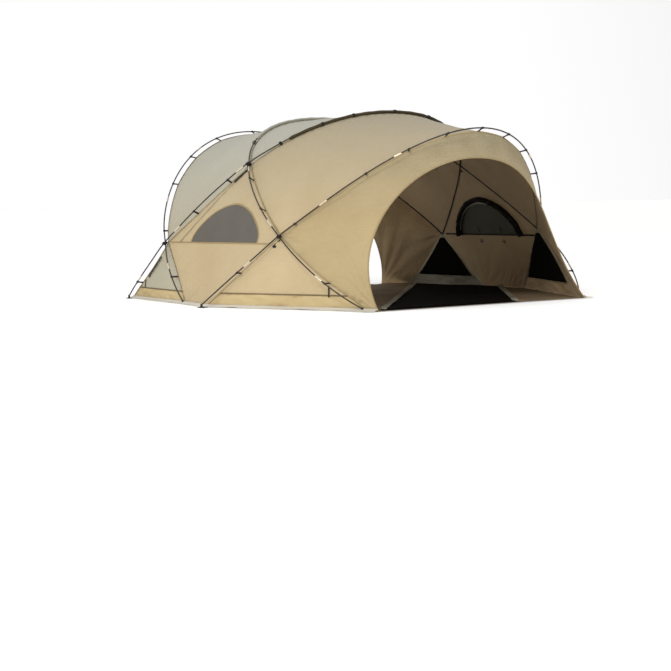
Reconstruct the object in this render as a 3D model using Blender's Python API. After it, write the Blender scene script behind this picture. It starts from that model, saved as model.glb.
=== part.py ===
"""Dome sun shelter: four long bent poles outside, a fabric dome hung inside them.

Two arch poles lean out over the front and the back opening. Two roof poles lean
across the top and cross on each side at a hub. Every fabric panel is a thin
closed shell whose edges follow the poles at a small stand-off, so neighbouring
panels share their seam points and keep a fine gap between them.

Metres, +Z up. The front opening faces -Y, the shelter is alike left and right,
and the origin is on the ground under the middle of the shelter.
"""

import math

import bmesh
import bpy
from mathutils import Vector

# Driving dimensions of the four poles. Each is a flat, leaning arch given by half
# of a cubic curve: its foot, the handle that swells it out above the foot, and a
# level handle at the crown. "foot" is (half span, y), "swell" is (x, height),
# "crown" is (handle x, y, height).
POLES = {
    "front_arch_pole": {"foot": (2.46, -0.42), "swell": (2.01, 0.71), "crown": (1.10, -2.40, 1.93)},
    "back_arch_pole": {"foot": (2.28, 0.28), "swell": (2.37, 0.92), "crown": (1.19, 2.43, 2.12)},
    "back_roof_pole": {"foot": (1.55, -2.31), "swell": (2.30, 0.59), "crown": (1.97, 0.71, 2.20)},
    "front_roof_pole": {"foot": (2.25, 1.79), "swell": (2.24, 0.56), "crown": (1.92, -0.80, 2.20)},
}
# Poles that pass outside where two cross; the others pass inside.
OUTER_POLES = ("front_arch_pole", "front_roof_pole")

POLE_DIAMETER = 0.016
POLE_SIDES = 8
POLE_FOOT_HEIGHT = 0.030
POLE_STEP = 0.16
CROSSING_CLEARANCE = 0.003
CROSSING_PULL = 0.07
CROSSING_ROUNDS = 6
CROSSING_LIFT = 0.04

# Where each arch pole is jointed, as a share of its run from one foot to the other.
ARCH_JOINT = 0.23
JOINT_GAP = 0.0003
LENGTH_SAMPLES = 50
TANGENT_STEP = 0.002
# How far past the hub the roof sleeves begin, as a share of the pole's run.
SLEEVE_START = 0.085
SLEEVE_DIAMETER = 0.040

# Fabric
FABRIC = 0.012
GAP = 0.0003
SEAM_PULL = 0.0004
STAND_OFF = 0.045
STRAP_REACH = 0.045
SLEEVE_STAND_OFF = 0.026
FOCUS = Vector((0.0, 0.0, 0.9))
UPPER_ROWS = 8
LOWER_SHARES = (1.0, 0.84, 0.68, 0.52, 0.36, 0.20, 0.10, 0.0)
BAND_ROW = 5
ROOF_COLUMNS = 20
LENS_ROWS = 4
WALL_COLUMNS = 8
TRIANGLE_COLUMNS = 6
STRIP_COLUMNS = 3

# Fabric corners on the ground, for the side x > 0.
FRONT_CORNER = Vector((1.50, -2.32, 0.0))
BACK_CORNER = Vector((2.16, 1.82, 0.0))
SIDE_FRONT_CORNER = Vector((2.36, -0.38, 0.0))
SIDE_BACK_CORNER = Vector((2.27, 0.27, 0.0))

# Edge of each big opening: half of a cubic curve from the ground corner to the top.
FRONT_OPENING = ((1.47, -2.448, 0.0), (1.40, -1.73, 0.75), (1.00, -2.35, 1.61), (0.0, -2.31, 1.61))
BACK_OPENING = ((1.80, 1.97, 0.0), (1.55, 1.45, 0.85), (1.15, 2.40, 1.78), (0.0, 2.36, 1.80))
OPENING_BREAK = 0.17

# D-shaped window in each side wall.
WINDOW_CENTRE_Y = -0.165
WINDOW_HALF_WIDTH = 0.65
WINDOW_SILL = 0.710
WINDOW_TOP = 1.135
WINDOW_POWER = 1.75
WINDOW_POINTS = 18
WINDOW_MESH_GAP = 0.0004
WINDOW_CUT_FROM, WINDOW_CUT_TO = 1.3, 2.6

# Straps from pole to seam
STRAP_WIDTH = 0.020
STRAP_THICK = 0.004
STRAP_END_GAP = 0.007
CLIP_LENGTH = 0.034
CLIP_WIDTH = 0.026
# Runs of the straps on the left half of each pole; the right half mirrors them.
POLE_STRAPS = {
    "front_arch_pole": (0.080, 0.185, 0.298, 0.367, 0.433, 0.5),
    "back_arch_pole": (0.050, 0.144, 0.251, 0.331, 0.412, 0.5),
    "back_roof_pole": (0.064, 0.210, 0.271),
    "front_roof_pole": (0.048, 0.208, 0.270),
}

# Ties at the crossings, tabs under the pole feet
TIE_WIDTH = 0.058
TIE_DEPTH = 0.046
TIE_CLEARANCE = 0.0004
TAB_WIDTH = 0.080
TAB_THICK = 0.006
TAB_BEYOND = 0.030
CUP_DIAMETER = 0.026
HEM_CLEAR = 0.0018

# Groundsheet
SHEET_THICK = 0.005
SHEET_EDGE_SLOPE = 0.8

COLOURS = {
    "pole": ((0.035, 0.028, 0.022), 0.45, 0.3),
    "sleeve": ((0.50, 0.39, 0.25), 0.85, 0.0),
    "fabric": ((0.58, 0.46, 0.29), 0.85, 0.0),
    "roof": ((0.55, 0.45, 0.31), 0.85, 0.0),
    "hem": ((0.50, 0.44, 0.33), 0.85, 0.0),
    "mesh": ((0.06, 0.055, 0.045), 0.9, 0.0),
    "webbing": ((0.02, 0.018, 0.016), 0.8, 0.0),
    "sheet": ((0.09, 0.08, 0.065), 0.8, 0.0),
}
UP = Vector((0, 0, 1))
LEFT, RIGHT = -1, 1
SIDES = {"left": LEFT, "right": RIGHT}


def clear_scene():
    """Start from an empty file."""
    for item in list(bpy.data.objects):
        bpy.data.objects.remove(item, do_unlink=True)


def material(name, kind):
    """One Principled material for one piece."""
    colour, roughness, metallic = COLOURS[kind]
    result = bpy.data.materials.new(name)
    result.use_nodes = True
    shader = result.node_tree.nodes["Principled BSDF"]
    shader.inputs["Base Color"].default_value = (*colour, 1.0)
    shader.inputs["Roughness"].default_value = roughness
    shader.inputs["Metallic"].default_value = metallic
    return result


def add_object(name, mesh_builder, kind):
    """Turn a bmesh into a named object with its own material."""
    mesh = bpy.data.meshes.new(name)
    bmesh.ops.recalc_face_normals(mesh_builder, faces=mesh_builder.faces[:])
    mesh_builder.to_mesh(mesh)
    mesh_builder.free()
    result = bpy.data.objects.new(name, mesh)
    bpy.context.collection.objects.link(result)
    mesh.materials.append(material(name, kind))
    return result


def add_cutter(name, mesh_builder):
    """A helper solid that only shapes other pieces."""
    result = add_object(name, mesh_builder, "webbing")
    result.hide_render = True
    result.display_type = "WIRE"
    return result


def boolean(target, other, operation):
    """Add an exact Boolean to a piece."""
    modifier = target.modifiers.new(operation.title(), "BOOLEAN")
    modifier.operation = operation
    modifier.object = other
    modifier.solver = "EXACT"


def cubic(start, first, second, end, share):
    """Point on a cubic curve."""
    rest = 1.0 - share
    return (start * rest ** 3 + first * (3 * rest ** 2 * share)
            + second * (3 * rest * share ** 2) + end * share ** 3)


def smooth_bump(distance, reach):
    """1 at no distance, easing to 0 at the reach."""
    if abs(distance) >= reach:
        return 0.0
    return math.cos(0.5 * math.pi * distance / reach) ** 2


def inward(point):
    """Direction from a point of the dome towards its middle."""
    return (FOCUS - point).normalized()


def mirrored(point, side):
    """A point given for x > 0, on the wanted side."""
    return Vector((point[0] * side, point[1], point[2]))


class Pole:
    """A pole's centre line, run from the left foot (0) to the right foot (1)."""

    def __init__(self, name):
        self.name = name
        size = POLES[name]
        crown_x, crown_y, crown_z = size["crown"]
        span, foot_y = size["foot"]
        swell_x, swell_z = size["swell"]
        self.lean = (crown_y - foot_y) / crown_z
        self.foot_y = foot_y
        self.points = [Vector((span, 0, POLE_FOOT_HEIGHT)), Vector((swell_x, 0, swell_z)),
                       Vector((crown_x, 0, crown_z)), Vector((0, 0, crown_z))]
        self.pulls = []
        self.lifts = []
        self.sense = 1.0 if name in OUTER_POLES else -1.0

    def free_at(self, run):
        """Centre line before the crossings pull it."""
        side = LEFT if run < 0.5 else RIGHT
        share = 2 * run if run < 0.5 else 2 * (1 - run)
        point = cubic(*self.points, share)
        return Vector((point.x * side, self.foot_y + self.lean * point.z, point.z))

    @staticmethod
    def moved(point, run, moves, reach):
        """A point with the moves of the crossings near it, on both sides."""
        for centre, move in moves:
            point = point + move * smooth_bump(run - centre, reach)
            point = point + mirrored(move, LEFT) * smooth_bump(run - (1 - centre), reach)
        return point

    def middle_at(self, run):
        """Centre line with each crossing drawn together."""
        return self.moved(self.free_at(run), run, self.pulls, CROSSING_PULL)

    def at(self, run):
        """Centre line of the pole as built, beside the one it crosses."""
        return self.moved(self.middle_at(run), run, self.lifts, CROSSING_LIFT)

    def tangent(self, run):
        """Direction of the built centre line."""
        return (self.at(min(run + TANGENT_STEP, 1.0)) - self.at(max(run - TANGENT_STEP, 0.0))).normalized()

    def length(self, start, end):
        """Length of the built line between two runs."""
        line = [self.at(start + (end - start) * i / LENGTH_SAMPLES) for i in range(LENGTH_SAMPLES + 1)]
        return sum((b - a).length for a, b in zip(line, line[1:]))

    def run_at_height(self, height, low, high):
        """The run between two others where the line has this height."""
        for _ in range(40):
            middle = 0.5 * (low + high)
            if (self.middle_at(middle).z - height) * (self.middle_at(high).z - height) > 0:
                high = middle
            else:
                low = middle
        return 0.5 * (low + high)


def nearest_runs(first, second, steps=24, rounds=7):
    """Runs on the left half of two poles where their middle lines are closest."""
    low_a, high_a, low_b, high_b = 0.02, 0.5, 0.02, 0.5
    best = None
    for _ in range(rounds):
        runs_a = [low_a + (high_a - low_a) * i / steps for i in range(steps + 1)]
        runs_b = [low_b + (high_b - low_b) * i / steps for i in range(steps + 1)]
        line_a = [(run, first.middle_at(run)) for run in runs_a]
        line_b = [(run, second.middle_at(run)) for run in runs_b]
        best = min(((a - b).length, run_a, run_b) for run_a, a in line_a for run_b, b in line_b)
        width_a = 2 * (high_a - low_a) / steps
        width_b = 2 * (high_b - low_b) / steps
        low_a, high_a = best[1] - width_a, best[1] + width_a
        low_b, high_b = best[2] - width_b, best[2] + width_b
    return best[1], best[2]


def draw_together(first, second):
    """Pull two poles to the middle of the gap where they cross; return both runs."""
    run_a, run_b = nearest_runs(first, second)
    gap = second.middle_at(run_b) - first.middle_at(run_a)
    first.pulls.append((run_a, gap * 0.5))
    second.pulls.append((run_b, gap * -0.5))
    return run_a, run_b


def set_apart(first, run_a, second, run_b):
    """Lay two crossing poles one over the other, clear by their thickness."""
    normal = first.tangent(run_a).cross(second.tangent(run_b)).normalized()
    if normal.dot(inward(first.middle_at(run_a))) > 0:
        normal = -normal
    lift = normal * (0.5 * (POLE_DIAMETER + CROSSING_CLEARANCE))
    first.lifts.append((run_a, lift * first.sense))
    second.lifts.append((run_b, lift * second.sense))


def tube(bm, centres, tangents, radius, level_start=False, level_end=False):
    """Closed tube along a list of points, with level ends where a foot stands."""
    rings = []
    across = tangents[0].orthogonal().normalized()
    for index, (centre, tangent) in enumerate(zip(centres, tangents)):
        across = (across - tangent * across.dot(tangent)).normalized()
        other = tangent.cross(across)
        ring = []
        for side in range(POLE_SIDES):
            angle = 2 * math.pi * (side + 0.5) / POLE_SIDES
            point = centre + (across * math.cos(angle) + other * math.sin(angle)) * radius
            if (index == 0 and level_start) or (index == len(centres) - 1 and level_end):
                point = point - tangent * ((point.z - centre.z) / tangent.z)
            ring.append(bm.verts.new(point))
        rings.append(ring)
    for ring, following in zip(rings, rings[1:]):
        for side in range(POLE_SIDES):
            after = (side + 1) % POLE_SIDES
            bm.faces.new((ring[side], ring[after], following[after], following[side]))
    bm.faces.new(rings[0][::-1])
    bm.faces.new(rings[-1])


def block(bm, centre, axes, sizes):
    """Box with the given axes and full sizes."""
    corners = []
    for corner in range(8):
        signs = [1 if corner >> axis & 1 else -1 for axis in range(3)]
        offset = sum((axes[i] * (signs[i] * sizes[i] * 0.5) for i in range(3)), Vector())
        corners.append(bm.verts.new(centre + offset))
    for face in ((0, 2, 3, 1), (4, 5, 7, 6), (0, 1, 5, 4), (2, 6, 7, 3), (0, 4, 6, 2), (1, 3, 7, 5)):
        bm.faces.new([corners[i] for i in face])


def pole_axes(pole, run):
    """Tangent, inward and sideways directions at a run of a pole."""
    tangent = pole.tangent(run)
    towards = inward(pole.at(run))
    towards = (towards - tangent * towards.dot(tangent)).normalized()
    return tangent, towards, tangent.cross(towards)


class Frame:
    """The four poles with their crossings found."""

    def __init__(self):
        self.poles = {name: Pole(name) for name in POLES}
        front, back = self.poles["front_arch_pole"], self.poles["back_arch_pole"]
        to_back, to_front = self.poles["back_roof_pole"], self.poles["front_roof_pole"]
        for _ in range(CROSSING_ROUNDS):
            self.front_run, self.to_back_low = draw_together(front, to_back)
            self.back_run, self.to_front_low = draw_together(back, to_front)
            self.to_back_hub, self.to_front_hub = draw_together(to_back, to_front)
        set_apart(front, self.front_run, to_back, self.to_back_low)
        set_apart(back, self.back_run, to_front, self.to_front_low)
        set_apart(to_back, self.to_back_hub, to_front, self.to_front_hub)


def stand_off(share):
    """Distance from pole to fabric between two anchors."""
    return STAND_OFF + STRAP_REACH * math.sin(math.pi * share)


def seam_point(pole, run, distance):
    """Fabric edge beside a pole."""
    point = pole.middle_at(run)
    return point + inward(point) * distance


class Seams:
    """Lists of points, for x < 0, that neighbouring panels share."""

    def __init__(self, frame):
        poles = frame.poles
        to_back, to_front = poles["back_roof_pole"], poles["front_roof_pole"]
        front, back = poles["front_arch_pole"], poles["back_arch_pole"]
        hub = 0.5 * (seam_point(to_back, frame.to_back_hub, STAND_OFF)
                     + seam_point(to_front, frame.to_front_hub, STAND_OFF))
        self.hub = hub
        self.front_knot = seam_point(front, frame.front_run, STAND_OFF)
        self.back_knot = seam_point(back, frame.back_run, STAND_OFF)
        self.hub_to_front = self.between(to_back, frame.to_back_hub, frame.to_back_low, UPPER_ROWS,
                                         hub, self.front_knot)
        self.hub_to_back = self.between(to_front, frame.to_front_hub, frame.to_front_low, UPPER_ROWS,
                                        hub, self.back_knot)
        left_side = [mirrored(corner, LEFT) for corner in
                     (SIDE_FRONT_CORNER, SIDE_BACK_CORNER, FRONT_CORNER, BACK_CORNER)]
        self.front_to_side = self.down(front, frame.front_run, self.front_knot, left_side[0])
        self.back_to_side = self.down(back, frame.back_run, self.back_knot, left_side[1])
        self.front_to_corner = self.down(to_back, frame.to_back_low, self.front_knot, left_side[2])
        self.back_to_corner = self.down(to_front, frame.to_front_low, self.back_knot, left_side[3])
        self.front_crown = self.over(front, frame.front_run, self.front_knot, stand_off)
        self.back_crown = self.over(back, frame.back_run, self.back_knot, stand_off)
        self.roof_front = self.over(to_front, frame.to_front_hub, hub, self.under_sleeve)
        self.roof_back = self.over(to_back, frame.to_back_hub, hub, self.under_sleeve)
        self.front_arch = self.whole(self.front_to_side, [], self.front_crown)
        self.back_arch = self.whole(self.back_to_side, [], self.back_crown)
        self.back_roof = self.whole(self.front_to_corner, self.hub_to_front, self.roof_back)
        self.front_roof = self.whole(self.back_to_corner, self.hub_to_back, self.roof_front)

    @staticmethod
    def whole(low, upper, over):
        """One line of points from the left corner over the crown to the right corner."""
        half = low[::-1] + upper[::-1][1:]
        return half + over[1:-1] + flip(half[::-1])

    @staticmethod
    def between(pole, start, end, count, first, last):
        """Points beside a pole from one anchor to the next."""
        points = []
        for index in range(count + 1):
            share = index / count
            points.append(seam_point(pole, start + (end - start) * share, stand_off(share)))
        points[0], points[-1] = first, last
        return points

    @staticmethod
    def down(pole, start, knot, corner):
        """Points beside a pole from a crossing to a corner on the ground."""
        points = []
        for share in LOWER_SHARES:
            height = knot.z * share
            run = pole.run_at_height(max(height, POLE_FOOT_HEIGHT), 0.0, start)
            point = seam_point(pole, run, stand_off(share))
            level = 1.0 - share
            straight = knot.lerp(corner, level)
            beside = Vector((point.x, point.y, height))
            points.append(beside.lerp(straight, level * level))
        points[0], points[-1] = knot, corner
        return points

    @staticmethod
    def over(pole, start, anchor, distance):
        """Points beside a pole over the crown, from left anchor to right anchor."""
        points = []
        for index in range(ROOF_COLUMNS + 1):
            share = index / ROOF_COLUMNS
            run = start + (1 - 2 * start) * share
            points.append(seam_point(pole, run, distance(share)))
        points[0] = anchor
        points[-1] = mirrored(anchor, LEFT)
        return points

    @staticmethod
    def under_sleeve(share):
        """Close to the pole where it runs in a sleeve."""
        edge = min(share, 1 - share) / SLEEVE_START
        return SLEEVE_STAND_OFF + (STAND_OFF - SLEEVE_STAND_OFF) * max(0.0, 1 - edge)


def flip(points):
    """The same points on the other side."""
    return [mirrored(point, LEFT) for point in points]


def ruled(first, second, columns):
    """Rows of points straight across from one edge to another."""
    return [[a.lerp(b, i / columns) for i in range(columns + 1)] for a, b in zip(first, second)]


def coons(top, bottom, left, right):
    """Grid between four edges that meet at their ends."""
    rows, columns = len(left) - 1, len(top) - 1
    grid = []
    for row in range(rows + 1):
        v = row / rows
        line = []
        for column in range(columns + 1):
            u = column / columns
            across = left[row].lerp(right[row], u)
            along = top[column].lerp(bottom[column], v)
            corners = top[0].lerp(top[-1], u).lerp(bottom[0].lerp(bottom[-1], u), v)
            line.append(across + along - corners)
        grid.append(line)
    return grid


def grid_normal(grid, row, column):
    """Inward unit normal of a grid of points."""
    rows, columns = len(grid) - 1, len(grid[0]) - 1
    down = grid[min(row + 1, rows)][column] - grid[max(row - 1, 0)][column]
    across_row = row if row > 0 else 1
    line = grid[across_row]
    across = line[min(column + 1, columns)] - line[max(column - 1, 0)]
    normal = down.cross(across)
    if normal.length < 1e-9:
        return inward(grid[row][column])
    normal.normalize()
    return normal if normal.dot(inward(grid[row][column])) > 0 else -normal


def inner_direction(grid, row, column, free_sides):
    """Way to go from the outer face to the inner face of a panel."""
    rows, columns = len(grid) - 1, len(grid[0]) - 1
    point = grid[row][column]
    sides = []
    if row == 0:
        sides.append("top")
    if row == rows:
        sides.append("bottom")
    if column == 0:
        sides.append("left")
    if column == columns:
        sides.append("right")
    on_seam = any(side not in free_sides for side in sides)
    direction = inward(point) if on_seam else grid_normal(grid, row, column)
    if point.z < 1e-6:
        direction = Vector((direction.x, direction.y, 0)).normalized()
    return direction


def eased(grid, row, column):
    """Where a seam point goes so that its panel keeps clear of the next."""
    rows, columns = len(grid) - 1, len(grid[0]) - 1
    inner_row = min(max(row, 1), rows - 1) if rows > 1 else row
    inner_column = min(max(column, 1), columns - 1)
    if (grid[row][0] - grid[row][columns]).length < 1e-6:
        target = grid[inner_row][columns // 2]
    else:
        target = grid[inner_row][inner_column]
    move = target - grid[row][column]
    if grid[row][column].z < 1e-6:
        move.z = 0.0
    if move.length < 1e-9:
        return Vector()
    return move.normalized() * SEAM_PULL


def shell(name, grid, kind, free_sides=()):
    """Closed thin panel whose outer face is the grid."""
    rows, columns = len(grid) - 1, len(grid[0]) - 1
    bm = bmesh.new()
    outer, inner = [], []
    for row in range(rows + 1):
        outer_row, inner_row = [], []
        for column in range(columns + 1):
            pull = eased(grid, row, column) if row in (0, rows) or column in (0, columns) else Vector()
            start = grid[row][column] + pull
            direction = inner_direction(grid, row, column, free_sides)
            if (grid[row][0] - grid[row][columns]).length < 1e-6:
                direction = inward(grid[row][column])
            outer_row.append(bm.verts.new(start))
            inner_row.append(bm.verts.new(start + direction * FABRIC))
        outer.append(outer_row)
        inner.append(inner_row)
    for row in range(rows):
        for column in range(columns):
            a, b = outer[row], outer[row + 1]
            bm.faces.new((a[column], a[column + 1], b[column + 1], b[column]))
            a, b = inner[row], inner[row + 1]
            bm.faces.new((a[column], b[column], b[column + 1], a[column + 1]))
    for row in range(rows):
        for column in (0, columns):
            bm.faces.new((outer[row][column], outer[row + 1][column],
                          inner[row + 1][column], inner[row][column]))
    for column in range(columns):
        for row in (0, rows):
            bm.faces.new((outer[row][column], outer[row][column + 1],
                          inner[row][column + 1], inner[row][column]))
    bmesh.ops.remove_doubles(bm, verts=bm.verts[:], dist=1e-6)
    bmesh.ops.dissolve_degenerate(bm, edges=bm.edges[:], dist=1e-7)
    bmesh.ops.triangulate(bm, faces=bm.faces[:])
    return add_object(name, bm, kind)


def opening_edge(points, count_low, count_over):
    """Left side and crown of an opening's edge, matched to the seam beside it."""
    start, first, second, top = (Vector(point) for point in points)

    def at(run):
        side = LEFT if run < 0.5 else RIGHT
        share = 2 * run if run < 0.5 else 2 * (1 - run)
        return mirrored(cubic(start, first, second, top, share), side)

    low = [at(OPENING_BREAK * (1 - i / count_low)) for i in range(count_low + 1)]
    over = [at(OPENING_BREAK + (1 - 2 * OPENING_BREAK) * i / count_over) for i in range(count_over + 1)]
    return low, over


def window_outline(grow):
    """D-shaped outline in the YZ plane, larger or smaller by the given amount."""
    points = []
    half = WINDOW_HALF_WIDTH + grow
    rise = WINDOW_TOP - WINDOW_SILL + 2 * grow
    for index in range(WINDOW_POINTS + 1):
        angle = math.pi * index / WINDOW_POINTS
        reach = math.copysign(abs(math.cos(angle)) ** (2 / WINDOW_POWER), math.cos(angle))
        height = abs(math.sin(angle)) ** (2 / WINDOW_POWER)
        points.append((WINDOW_CENTRE_Y + half * reach, WINDOW_SILL - grow + rise * height))
    return points


def window_cutter(side_name, grow, name):
    """Prism across a side wall with the window's outline."""
    side = SIDES[side_name]
    bm = bmesh.new()
    near, far = [], []
    for y, z in window_outline(grow):
        near.append(bm.verts.new((side * WINDOW_CUT_FROM, y, z)))
        far.append(bm.verts.new((side * WINDOW_CUT_TO, y, z)))
    count = len(near)
    for index in range(count):
        after = (index + 1) % count
        bm.faces.new((near[index], near[after], far[after], far[index]))
    bm.faces.new(near[::-1])
    bm.faces.new(far)
    return add_cutter(name, bm)


def make_side_walls(seams):
    """The two windowed walls and the mesh that fills each window."""
    for side_name, side in SIDES.items():
        front = seams.hub_to_front + seams.front_to_side[1:]
        back = seams.hub_to_back + seams.back_to_side[1:]
        if side == RIGHT:
            front, back = flip(front), flip(back)
        grid = ruled(front, back, WALL_COLUMNS)
        wall = shell(f"{side_name}_wall", grid, "fabric")
        boolean(wall, window_cutter(side_name, 0.0, f"{side_name}_window_cutter"), "DIFFERENCE")
        mesh_panel = shell(f"{side_name}_window_mesh", grid, "mesh")
        cutter = window_cutter(side_name, -WINDOW_MESH_GAP, f"{side_name}_mesh_cutter")
        boolean(mesh_panel, cutter, "INTERSECT")


def make_lower_panels(seams):
    """Triangular vents beside the side walls, each with a band along the ground."""
    pairs = {"front": (seams.front_to_side, seams.front_to_corner),
             "back": (seams.back_to_side, seams.back_to_corner)}
    for end, (wall_side, opening_side) in pairs.items():
        for side_name, side in SIDES.items():
            first, second = wall_side, opening_side
            if side == RIGHT:
                first, second = flip(first), flip(second)
            grid = ruled(first, second, TRIANGLE_COLUMNS)
            shell(f"{end}_{side_name}_vent", grid[:BAND_ROW + 1], "fabric")
            shell(f"{end}_{side_name}_ground_band", grid[BAND_ROW:], "hem", ("bottom",))


def make_roof(seams):
    """The lens between the roof poles, and the panels before and behind it."""
    lens = [[front.lerp(back, row / LENS_ROWS) for front, back in zip(seams.roof_front, seams.roof_back)]
            for row in range(LENS_ROWS + 1)]
    columns = [list(column) for column in zip(*lens)]
    shell("roof_centre", columns, "roof")
    front = coons(seams.roof_front, seams.front_crown, seams.hub_to_front, flip(seams.hub_to_front))
    shell("roof_front", front, "fabric")
    back = coons(seams.roof_back, seams.back_crown, seams.hub_to_back, flip(seams.hub_to_back))
    shell("roof_back", back, "roof")


def make_end_walls(seams):
    """Fabric between the arch poles' seams and the edges of the big openings."""
    ends = {"front": (FRONT_OPENING, seams.front_to_corner, seams.front_crown),
            "back": (BACK_OPENING, seams.back_to_corner, seams.back_crown)}
    for end, (edge, seam_low, seam_over) in ends.items():
        low, over = opening_edge(edge, len(seam_low) - 1, ROOF_COLUMNS)
        for side_name, side in SIDES.items():
            outer = seam_low if side == LEFT else flip(seam_low)
            inner = low if side == LEFT else flip(low)
            grid = ruled(outer, inner, STRIP_COLUMNS)
            shell(f"{end}_opening_{side_name}_side", grid, "fabric", ("right", "bottom"))
        grid = ruled(seam_over, over, STRIP_COLUMNS)
        middle = ROOF_COLUMNS // 2
        shell(f"{end}_awning_left", grid[:middle + 1], "fabric", ("right",))
        shell(f"{end}_awning_right", grid[middle:], "fabric", ("right",))


def nearest_on(line, place):
    """Point of a line of points that is closest to a place."""
    best = None
    for start, end in zip(line, line[1:]):
        step = end - start
        share = max(0.0, min(1.0, (place - start).dot(step) / step.length_squared))
        point = start + step * share
        if best is None or (point - place).length < (best - place).length:
            best = point
    return best


def straps(name, pole, runs, seam):
    """Clips round a pole and straps from it to the fabric, as two helper solids."""
    clips, bands = bmesh.new(), bmesh.new()
    for run in runs:
        tangent, towards, across = pole_axes(pole, run)
        centre = pole.at(run)
        block(clips, centre, (tangent, towards, across), (CLIP_LENGTH, CLIP_WIDTH, CLIP_WIDTH))
        reach = nearest_on(seam, centre) - centre
        along = reach.normalized()
        reach -= along * STRAP_END_GAP
        flat = (tangent - along * tangent.dot(along)).normalized()
        block(bands, centre + reach * 0.5, (flat, along, flat.cross(along)),
              (STRAP_WIDTH, reach.length, STRAP_THICK))
    return add_cutter(f"{name}_clips_guide", clips), add_cutter(f"{name}_straps_guide", bands)


def pole_section(name, pole, start, end, seam, kind="pole", diameter=POLE_DIAMETER):
    """One length of pole, closing 0.3 mm short of the next, with its clips and straps."""
    half = POLE_STRAPS[pole.name]
    runs = [run for run in half + tuple(1 - run for run in half if run < 0.5) if start < run < end]
    slack = 0.5 * JOINT_GAP / pole.length(start, end) * (end - start)
    start += slack if start > 0.0 else 0.0
    end -= slack if end < 1.0 else 0.0
    count = max(4, round(pole.length(start, end) / POLE_STEP))
    centres = [pole.at(start + (end - start) * i / count) for i in range(count + 1)]
    tangents = [pole.tangent(start + (end - start) * i / count) for i in range(count + 1)]
    bm = bmesh.new()
    tube(bm, centres, tangents, diameter / 2, level_start=start == 0.0, level_end=end == 1.0)
    section = add_object(name, bm, kind)
    if kind == "pole":
        channel = bmesh.new()
        tube(channel, centres, tangents, diameter / 2 + TIE_CLEARANCE)
        add_cutter(f"{name}_channel", channel)
        for guide in straps(name, pole, runs, seam):
            boolean(section, guide, "UNION")


def make_arch_poles(frame, seams):
    """Front and back arch poles in three lengths each."""
    lines = {"front_arch_pole": seams.front_arch, "back_arch_pole": seams.back_arch}
    for name, seam in lines.items():
        pole = frame.poles[name]
        pole_section(f"{name}_left", pole, 0.0, ARCH_JOINT, seam)
        pole_section(f"{name}_crown", pole, ARCH_JOINT, 1 - ARCH_JOINT, seam)
        pole_section(f"{name}_right", pole, 1 - ARCH_JOINT, 1.0, seam)


def make_roof_poles(frame, seams):
    """Roof poles: two legs each, and the sleeve that carries the rest over the roof."""
    ends = {"front_roof": (frame.to_front_hub, seams.front_roof),
            "back_roof": (frame.to_back_hub, seams.back_roof)}
    for title, (hub, seam) in ends.items():
        pole = frame.poles[f"{title}_pole"]
        start = hub + SLEEVE_START * (1 - 2 * hub)
        pole_section(f"{title}_pole_left", pole, 0.0, start, seam)
        pole_section(f"{title}_pole_right", pole, 1 - start, 1.0, seam)
        pole_section(f"{title}_sleeve", pole, start, 1 - start, seam, kind="sleeve", diameter=SLEEVE_DIAMETER)


def make_ties(frame):
    """Webbing ties that hold the poles where they cross."""
    crossings = {
        "front_tie": (("front_arch_pole", frame.front_run), ("back_roof_pole", frame.to_back_low)),
        "back_tie": (("back_arch_pole", frame.back_run), ("front_roof_pole", frame.to_front_low)),
        "hub_tie": (("back_roof_pole", frame.to_back_hub), ("front_roof_pole", frame.to_front_hub)),
    }
    for title, pair in crossings.items():
        for side_name, side in SIDES.items():
            runs = [(frame.poles[name], run if side == LEFT else 1 - run) for name, run in pair]
            centre = 0.5 * (runs[0][0].at(runs[0][1]) + runs[1][0].at(runs[1][1]))
            tangent, towards, across = pole_axes(*runs[0])
            other = pole_axes(*runs[1])[0]
            axis = (tangent + other * math.copysign(1, tangent.dot(other))).normalized()
            outward = -inward(centre)
            axis = (axis - outward * axis.dot(outward)).normalized()
            axes = (axis, outward, axis.cross(outward))
            bm = bmesh.new()
            block(bm, centre, axes, (TIE_WIDTH, TIE_DEPTH, TIE_WIDTH))
            tie = add_object(f"{side_name}_{title}", bm, "webbing")
            for name, _ in pair:
                boolean(tie, bpy.data.objects[f"{name}_{side_name}_channel"], "DIFFERENCE")


def hem_line(near, far, side):
    """Direction along a hem and the level direction out of it."""
    along = (far - near).normalized()
    outward = Vector((along.y, -along.x, 0))
    return along, outward if outward.x * side > 0 else -outward


def tab_parts(tabs, cups, foot, near, far, side):
    """Add a pole foot's tab and cup to two helper solids."""
    along, outward = hem_line(near, far, side)
    place = Vector((foot.x, foot.y, 0)) - near
    end = place.dot(outward) + TAB_BEYOND
    middle = near + along * place.dot(along) + outward * (0.5 * (HEM_CLEAR + end))
    block(tabs, middle + UP * (0.5 * TAB_THICK), (along, outward, UP),
          (TAB_WIDTH, end - HEM_CLEAR, TAB_THICK))
    low, high = foot.copy(), foot.copy()
    low.z, high.z = 0.5 * TAB_THICK, POLE_FOOT_HEIGHT - GAP
    tube(cups, [low, high], [UP, UP], 0.5 * CUP_DIAMETER)


def make_corner_feet(frame):
    """Tab and cup under the feet of the roof poles, at the four corners."""
    corners = {"front_corner_foot": ("back_roof_pole", FRONT_CORNER, SIDE_FRONT_CORNER),
               "back_corner_foot": ("front_roof_pole", BACK_CORNER, SIDE_BACK_CORNER)}
    for title, (pole, corner, other) in corners.items():
        for side_name, side in SIDES.items():
            foot = frame.poles[pole].at(0.0 if side == LEFT else 1.0)
            tabs, cups = bmesh.new(), bmesh.new()
            tab_parts(tabs, cups, foot, mirrored(corner, side), mirrored(other, side), side)
            name = f"{side_name}_{title}"
            boolean(add_object(name, tabs, "webbing"), add_cutter(f"{name}_cup_guide", cups), "UNION")


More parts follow.
